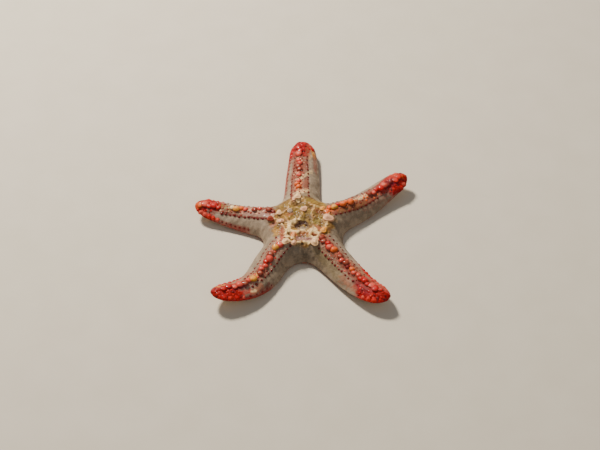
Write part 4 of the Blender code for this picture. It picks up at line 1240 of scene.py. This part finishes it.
def make_mouth(material):
    """The skin round the mouth, drawn into folds and hollowed under the jaws."""
    low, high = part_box("mouth")
    radius = (high[0] - low[0]) / 2 * MOUTH_FIT
    rings, segments = 25, 100
    ring, turn = disc_grid(rings, segments)
    first = math.radians(ARMS[0][0][0])
    folds = FOLD_DEPTH * np.cos(FOLDS * (turn - first)) * hump(ring - 0.35, 0.25)
    pucker = PUCKER_DEPTH * hump(ring, 0.22)
    beside_jaw = np.sin(ARM_COUNT / 2 * (turn - first + math.pi / ARM_COUNT))
    jaws = JAW_DEPTH * hump(beside_jaw, 0.5) * hump(ring - 0.8, 0.3)
    level = np.maximum(low[2] + MOUTH_LEVEL[0] + folds + pucker - jaws, low[2])
    points = disc_points(ring * radius, turn, level, low[2] + MOUTH_LEVEL[1])
    faces = [(face[0], *face[:0:-1]) for face in ring_faces(rings, segments)]
    deep = np.append((1 - ring).ravel(), 1.0)
    piece = make_object("mouth_skin", points, faces, material, {"rise": deep}, None,
                        points[:, :2] / radius * FINE_DISC + 0.5)
    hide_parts("mouth")


def make_sieve_plate(material):
    """The sieve plate: a low button whose top is cut by winding grooves."""
    low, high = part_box("madreporite")
    plan = (np.array([(low[0] + high[0]) / 2, (low[1] + high[1]) / 2]) - MIDDLE[:2])[None]
    foot, normal = stand(plan)
    foot = foot[0] + normal[0] * skin_relief(foot)[0]
    radius = (high[0] - low[0]) / 2 * PLATE_FIT
    rings, segments = 29, 120
    ring, turn = disc_grid(rings, segments)
    wave = 18 * turn + 2.5 * np.sin(3 * turn + 9 * ring) + 5 * ring
    groove = 0.5 + 0.5 * np.cos(wave + 3 * np.sin(14 * ring))
    inner = smooth(1 - ring, 0.04, 0.12)        # the grooves end short of the rim
    button = PLATE_HEIGHT * (1 - ring ** 4) - PLATE_RIM * smooth(ring, 0.9, 1.0)
    depth = PLATE_GROOVE_DEPTH * groove * inner * smooth(ring, 0.04, 0.2)
    flat = disc_points(ring * radius, turn, button - depth, PLATE_HEIGHT)
    side = np.array(Vector(normal[0]).to_track_quat("Z", "X").to_matrix())
    cut = np.append((groove * inner).ravel(), 0)
    piece = make_object("sieve_plate", flat @ side.T + foot, ring_faces(rings, segments),
                        material, {"groove": cut}, None, flat[:, :2] / radius * FINE_DISC + 0.5)
    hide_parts("madreporite")


# ---- node helpers and shared effects --------------------------------------------------------
def feed(node, inputs):
    """Fills inputs, by name or number, each with a value or with the socket to join to it."""
    for key, value in inputs.items():
        socket = node.inputs[key]
        if isinstance(value, bpy.types.NodeSocket):
            node.id_data.links.new(value, socket)
        elif socket.type == "RGBA":
            socket.default_value = (*value[:3], 1.0)
        else:
            socket.default_value = value
    return node


def put(tree, kind, inputs, **settings):
    """Adds a node with its settings and inputs."""
    node = tree.nodes.new("ShaderNode" + kind)
    for name, value in settings.items():
        setattr(node, name, value)
    return feed(node, inputs)


def mix(tree, share, under, over):
    """One colour where the share is 0, and the other where it is 1."""
    return put(tree, "Mix", {0: share, 6: under, 7: over}, data_type="RGBA").outputs[2]


def times(tree, *factors):
    """The product of values."""
    product = factors[0]
    for factor in factors[1:]:
        product = put(tree, "Math", {0: product, 1: factor}, operation="MULTIPLY").outputs[0]
    return product


def ramp(tree, value, start, end, low=0.0, high=1.0):
    """Turns a value smoothly from low at start to high at end."""
    inputs = {"Value": value, "From Min": start, "From Max": end, "To Min": low, "To Max": high}
    return put(tree, "MapRange", inputs, interpolation_type="SMOOTHSTEP").outputs[0]


def mask(tree, name):
    """A value kept on the points of the mesh."""
    return put(tree, "Attribute", {}, attribute_name=name).outputs["Fac"]


def hue(tree, name):
    """A colour kept on the points of the mesh."""
    return put(tree, "Attribute", {}, attribute_name=name).outputs["Color"]


def new_group(name, inputs, outputs):
    """An empty node group with float sockets; gives the tree, its input node and output node."""
    tree = bpy.data.node_groups.new(name, "ShaderNodeTree")
    for title, value in inputs.items():
        socket = tree.interface.new_socket(title, in_out="INPUT", socket_type="NodeSocketFloat")
        socket.default_value = value
    for title in outputs:
        tree.interface.new_socket(title, in_out="OUTPUT", socket_type="NodeSocketFloat")
    return tree, tree.nodes.new("NodeGroupInput"), tree.nodes.new("NodeGroupOutput")


def pavement_group():
    """Close-set granules: the height of each and the joints between them."""
    tree, start, end = new_group("granules", {"Scale": 1500.0, "Joint": 0.12},
                                 ("Height", "Joint"))
    where = {"Vector": put(tree, "TexCoord", {}).outputs["Object"],
             "Scale": start.outputs["Scale"]}
    cells = put(tree, "TexVoronoi", where, feature="F1")
    rims = put(tree, "TexVoronoi", where, feature="DISTANCE_TO_EDGE")
    joint = put(tree, "MapRange", {"Value": rims.outputs["Distance"], "From Min": 0.0,
                                   "From Max": start.outputs["Joint"], "To Min": 1.0,
                                   "To Max": 0.0})
    feed(end, {"Height": ramp(tree, cells.outputs["Distance"], *GRANULE_TOP),
               "Joint": joint.outputs[0]})
    return tree


def mottle_group():
    """Soft uneven patches."""
    tree, start, end = new_group("mottle", {"Scale": 200.0, "Detail": 4.0, "Low": 0.4, "High": 0.6},
                                 ("Mask",))
    where = put(tree, "TexCoord", {}).outputs["Object"]
    noise = put(tree, "TexNoise", {"Vector": where, "Scale": start.outputs["Scale"],
                                   "Detail": start.outputs["Detail"]})
    patch = ramp(tree, noise.outputs[0], start.outputs["Low"], start.outputs["High"])
    feed(end, {"Mask": patch})
    return tree


GRANULE_TOP = (0.75, 0.1)   # distances from a granule's middle where it is lowest and highest
GROUPS = {"granules": pavement_group(), "mottle": mottle_group()}


def granules(tree, scale):
    """Height of the granules and the joints between them."""
    node = tree.nodes.new("ShaderNodeGroup")
    node.node_tree = GROUPS["granules"]
    outputs = feed(node, {"Scale": scale, "Joint": 0.10}).outputs
    return outputs["Height"], outputs["Joint"]


def mottle(tree, scale, detail, low, high):
    """Soft patches of the size that the scale gives, between two levels of the noise."""
    node = tree.nodes.new("ShaderNodeGroup")
    node.node_tree = GROUPS["mottle"]
    inputs = {"Scale": scale, "Detail": detail, "Low": low, "High": high}
    return feed(node, inputs).outputs["Mask"]


def new_material(name, **shader_values):
    """A material with its tree; shader values are named as the shader's inputs."""
    material = bpy.data.materials.new(name)
    material.use_nodes = True
    shader = material.node_tree.nodes["Principled BSDF"]
    feed(shader, {key.replace("_", " "): value for key, value in shader_values.items()})
    return material, material.node_tree, shader


def finish(shader, colour, patches, roughness, height, strength, distance):
    """Joins colour, roughness, which patches vary between two values, and bump to the shader."""
    tree = shader.id_data
    relief = put(tree, "Bump", {"Height": height, "Strength": strength, "Distance": distance})
    feed(shader, {"Base Color": colour, "Roughness": ramp(tree, patches, 0.0, 1.0, *roughness),
                  "Normal": relief.outputs[0]})


# ---- finishes -------------------------------------------------------------------------------
# flank colours, blended by the painted light and shade of each arm and by random patches
FLANK_DARK = (0.121, 0.092, 0.060)
FLANK_LIGHT = (0.390, 0.294, 0.202)
CREST_BROWN = (0.230, 0.090, 0.048)
CREST_PALE = (0.392, 0.248, 0.158)
LINE_RED = (0.120, 0.012, 0.008)
TIP_RED = (0.430, 0.003, 0.003)
TIP_DARK = (0.240, 0.002, 0.003)
CREAM = (1.000, 0.690, 0.310)
OCHRE = (0.370, 0.205, 0.040)
RUST = (0.500, 0.225, 0.070)
HOLLOW = (0.150, 0.068, 0.022)
# painted shade for the hollows of the disc
PIT_SHADE = (0.075, 0.038, 0.014)
OLIVE = (0.205, 0.135, 0.020)
SOLE = (0.560, 0.430, 0.300)
SKIN_JOINT = (0.050, 0.030, 0.020)
# painted shade at the foot of each knob, where it meets the skin
KNOB_FOOT_SHADE = (0.090, 0.010, 0.008)
KNOB_TOP = (0.950, 0.520, 0.360)
KNOB_STAIN = (0.100, 0.020, 0.012)
KNOB_JOINT = (0.120, 0.020, 0.010)
SOFT_PALE = (0.620, 0.460, 0.320)
SOFT_TIP = (0.800, 0.660, 0.500)
FOOT_PALE = (0.660, 0.500, 0.360)
FOOT_TIP = (0.620, 0.300, 0.160)
SOFT_STAIN = (0.300, 0.180, 0.100)
PLATE_PALE = (0.800, 0.620, 0.460)
PLATE_GROOVE = (0.300, 0.170, 0.100)
PLATE_STAIN = (0.450, 0.300, 0.180)
# where a worn ridge turns rusty, and where cream: from and to these shares of its paleness
RUST_TURN = (0.05, 0.45)
CREAM_TURN = (0.26, 0.70)
# how patches vary a finish: from and to these levels of the patches, between these strengths
TONE_PATCHES = (0.0, 1.0, -0.20, 0.20)
WORN_PATCHES = (0.0, 0.7, 0.80, 1.0)
FILM_PATCHES = (0.1, 0.8, 0.50, 0.95)
MARK_PATCHES = (0.0, 0.8, 0.72, 1.0)
# how far up a knob the painted shade at its foot reaches
KNOB_SIDE = (0.12, 0.52)    # how far up a knob its dark foot ends
KNOB_WORN = (0.62, 0.95)    # and where its worn top begins
KNOB_MOODS = (0.1, 0.9, 0.1, 1.0)       # some are worn more than others
SOFT_END = (0.45, 0.85)     # how far up a soft part its end colour sets in


def skin_finish():
    """The skin of the back and underside: one finish over another, each in its own places."""
    material, tree, shader = new_material("star_skin", Coat_Weight=0.08, Coat_Roughness=0.14,
                                          Specular_IOR_Level=0.12)
    height, joint = granules(tree, scale=1350.0)
    coarse = mottle(tree, scale=170.0, detail=5.0, low=0.38, high=0.64)
    fine = mottle(tree, scale=620.0, detail=4.0, low=0.36, high=0.66)
    worn = mask(tree, "worn")
    # painted light and shade of the flanks, varied by random patches
    painted_light_and_tone = put(tree, "Math", {0: mask(tree, "painted_light_and_tone"), 1: ramp(tree, coarse, *TONE_PATCHES)},
               operation="ADD", use_clamp=True).outputs[0]
    colour = mix(tree, painted_light_and_tone, FLANK_DARK, FLANK_LIGHT)
    rusty = mix(tree, ramp(tree, worn, *RUST_TURN), mix(tree, coarse, HOLLOW, OCHRE), RUST)
    layers = (
        # colour, and the values whose product is its strength, from the lowest to the topmost
        (CREST_PALE, fine, 0.25),
        (mix(tree, fine, CREST_BROWN, CREST_PALE), mask(tree, "band"), 0.60),
        (rusty, mask(tree, "crown")),
        (mix(tree, fine, TINTS["crimson"], STAINS["brown"]), mask(tree, "flush"), 0.7),
        (CREAM, ramp(tree, worn, *CREAM_TURN), ramp(tree, fine, *WORN_PATCHES)),
        (OLIVE, mask(tree, "film"), ramp(tree, coarse, *FILM_PATCHES)),
        # painted shade in the hollows of the disc, darker the deeper they are
        (PIT_SHADE, mask(tree, "hollow"), 0.60),
        (LINE_RED, mask(tree, "line")),
        (mix(tree, fine, TIP_DARK, TIP_RED), mask(tree, "red")),
        (hue(tree, "stain"), mask(tree, "mark"), ramp(tree, fine, *MARK_PATCHES)),
        (mix(tree, fine, SOLE, CREAM), mask(tree, "under")),
        (SKIN_JOINT, joint, 0.40),
    )
    for over, *shares in layers:
        colour = mix(tree, times(tree, *shares), colour, over)
    finish(shader, colour, fine, (0.44, 0.64), height, strength=0.35, distance=0.00020)
    return material


def knob_finish(name, pale, gloss, foot_shade=0.65):
    """Knobs: dark at the foot with painted shade where they meet the skin, their own tint up the
    side and paler on the worn top.
    """
    material, tree, shader = new_material(name, Coat_Weight=gloss, Coat_Roughness=0.08,
                                          Specular_IOR_Level=0.12)
    tint, rise = hue(tree, "tint"), mask(tree, "rise")
    height, joint = granules(tree, scale=1900.0)
    fine = mottle(tree, scale=900.0, detail=3.0, low=0.35, high=0.65)
    # painted shade at the foot, where the knob meets the skin
    foot = mix(tree, foot_shade, tint, KNOB_FOOT_SHADE)
    colour = mix(tree, ramp(tree, rise, *KNOB_SIDE), foot, tint)
    moods = ramp(tree, mask(tree, "mood"), *KNOB_MOODS)
    colour = mix(tree, times(tree, ramp(tree, rise, *KNOB_WORN), moods, pale), colour, KNOB_TOP)
    colour = mix(tree, times(tree, fine, 0.22), colour, KNOB_STAIN)
    colour = mix(tree, times(tree, joint, 0.25), colour, KNOB_JOINT)
    finish(shader, colour, fine, (0.34, 0.52), height, strength=0.22, distance=0.00016)
    return material


def soft_finish(name, base, tip, rough):
    """Soft parts of the underside, with their ends in a second colour."""
    material, tree, shader = new_material(name, Coat_Weight=0.4, Coat_Roughness=0.15,
                                          Subsurface_Weight=0.15, Subsurface_Scale=0.001)
    fine = mottle(tree, scale=1100.0, detail=3.0, low=0.35, high=0.65)
    colour = mix(tree, ramp(tree, mask(tree, "rise"), *SOFT_END), base, tip)
    colour = mix(tree, times(tree, fine, 0.25), colour, SOFT_STAIN)
    finish(shader, colour, fine, (rough, rough + 0.15), fine, strength=0.3, distance=0.0001)
    return material


def sieve_finish():
    """The pale sieve plate, darker in its grooves."""
    material, tree, shader = new_material("sieve_plate", Coat_Weight=0.3, Coat_Roughness=0.2)
    fine = mottle(tree, scale=1500.0, detail=3.0, low=0.35, high=0.65)
    colour = mix(tree, mask(tree, "groove"), PLATE_PALE, PLATE_GROOVE)
    colour = mix(tree, times(tree, fine, 0.3), colour, PLATE_STAIN)
    finish(shader, colour, fine, (0.40, 0.58), fine, strength=0.25, distance=0.0001)
    return material


# ---- the animal -----------------------------------------------------------------------------
ridge_set, crown_set, edge_set, stud_set = ridge_knobs(), crown_knobs(), edge_beads(), flank_studs()
tip_set = tip_beads(np.concatenate([ridge_set, edge_set]))
crest_set = crest_beads(np.concatenate([ridge_set, tip_set]))
ALL_KNOBS = np.concatenate([ridge_set, crown_set, edge_set, tip_set])
ALL_FEET = stand(ALL_KNOBS[:, :2])[0]
SWOLLEN = len(ridge_set) + len(crown_set)


def skin_relief(points):
    """How far the skin stands out, with the swellings under the large knobs."""
    return relief(points, ALL_FEET[:SWOLLEN], ALL_KNOBS[:SWOLLEN, 2])


make_skin(skin_finish(), ALL_FEET, ALL_KNOBS)
knob_material = knob_finish("knob", pale=0.28, gloss=0.20)
worn_material = knob_finish("worn_knob", pale=0.3, gloss=0.14, foot_shade=0.20)
bead_material = knob_finish("red_bead", pale=0.06, gloss=0.16, foot_shade=0.30)
set_knobs("ridge_knobs", ridge_set, knob_material, 24, dome(blunt=0.8, steps=9), "knobs")
set_knobs("crown_knobs", crown_set, worn_material, 28, bell(steps=11, spread=1.3, foot=-0.9),
          "knobs", lumps=0.14, lean=0.20)
set_knobs("edge_beads", edge_set, bead_material, 16, bell(steps=8), "knobs")
set_knobs("tip_beads", tip_set, bead_material, 14, bell(steps=7), "red_skin")
set_knobs("crest_beads", crest_set, knob_material, 12, bell(steps=6), "knobs")
set_knobs("flank_studs", stud_set, bead_material, 12, dome(blunt=0.7, steps=6), "knobs")
pale = soft_finish("pale_soft_part", SOFT_PALE, SOFT_TIP, rough=0.35)
make_tube_feet(soft_finish("tube_foot", FOOT_PALE, FOOT_TIP, rough=0.30))
make_furrow_spines(pale)
make_mouth(pale)
make_mouth_spines(pale)
make_sieve_plate(sieve_finish())


# ---- floor, light and camera ----------------------------------------------------------------
FLOOR_SIZE = 6.0
FLOOR_DROP = 0.0001                              # keeps it clear of the underside
FLOOR_DARK = (0.60, 0.53, 0.42)
FLOOR_LIGHT = (0.63, 0.56, 0.45)
LAMPS = (
    # azimuth from +Y, clockwise from above, and elevation; distance, diameter, watts and colour
    ("key", -36, 48, 1.6, 0.30, 51.0, (1.0, 0.94, 0.84)),
    ("fill", 150, 50, 2.2, 1.6, 6.0, (0.95, 0.97, 1.0)),
)
SKY_COLOUR = (0.95, 0.97, 1.0)
SKY_STRENGTH = 0.25
CAMERA_AIM = np.array([-0.0022, 0.0102, 0.0])    # from the middle of the disc
CAMERA_DISTANCE = 1.31
CAMERA_ELEVATION = 48.5
VIEW_WIDTH = 0.558                               # width of the view at the aim
SENSOR_WIDTH = 36.0


def towards(azimuth, elevation):
    """Direction to a place round the animal, by its angles in degrees."""
    turn, rise = math.radians(azimuth), math.radians(elevation)
    return Vector((math.sin(turn) * math.cos(rise), math.cos(turn) * math.cos(rise),
                   math.sin(rise)))


def put_out(name, data, aim, away, distance):
    """Places a lamp or camera at a distance from its aim, looking back at it."""
    made = bpy.data.objects.new(name, data)
    made.location = Vector(aim) + away * distance
    made.rotation_euler = away.to_track_quat("Z", "Y").to_euler()
    bpy.context.scene.collection.objects.link(made)
    return made


def make_floor():
    """A plain floor under the animal, for its shadow."""
    half = FLOOR_SIZE / 2
    corners = [(-half, -half, 0), (half, -half, 0), (half, half, 0), (-half, half, 0)]
    mesh = bpy.data.meshes.new("floor")
    mesh.from_pydata(corners, [], [(0, 1, 2, 3)])
    floor = bpy.data.objects.new("floor", mesh)
    floor.location = (0, 0, -FLOOR_DROP)
    bpy.context.scene.collection.objects.link(floor)
    material, tree, shader = new_material("floor", Roughness=0.85)
    soft = mottle(tree, scale=30.0, detail=6.0, low=0.2, high=0.8)
    feed(shader, {"Base Color": mix(tree, soft, FLOOR_DARK, FLOOR_LIGHT)})
    mesh.materials.append(material)


def make_lights():
    """Round lamps that face the animal, and a pale sky."""
    for name, azimuth, elevation, distance, size, power, colour in LAMPS:
        data = bpy.data.lights.new(name, "AREA")
        data.shape, data.size, data.energy, data.color = "DISK", size, power, colour
        put_out(name, data, MIDDLE, towards(azimuth, elevation), distance)
    world = bpy.data.worlds.new("world")
    world.use_nodes = True
    feed(world.node_tree.nodes["Background"], {"Color": SKY_COLOUR, "Strength": SKY_STRENGTH})
    bpy.context.scene.world = world


def make_camera():
    """The camera in front of the animal, looking down at it."""
    data = bpy.data.cameras.new("camera")
    data.sensor_width = SENSOR_WIDTH
    data.lens = SENSOR_WIDTH * CAMERA_DISTANCE / VIEW_WIDTH
    data.clip_start = 0.01
    bpy.context.scene.camera = put_out("camera", data, MIDDLE + CAMERA_AIM,
                                       towards(180, CAMERA_ELEVATION), CAMERA_DISTANCE)


make_floor()
make_lights()
make_camera()
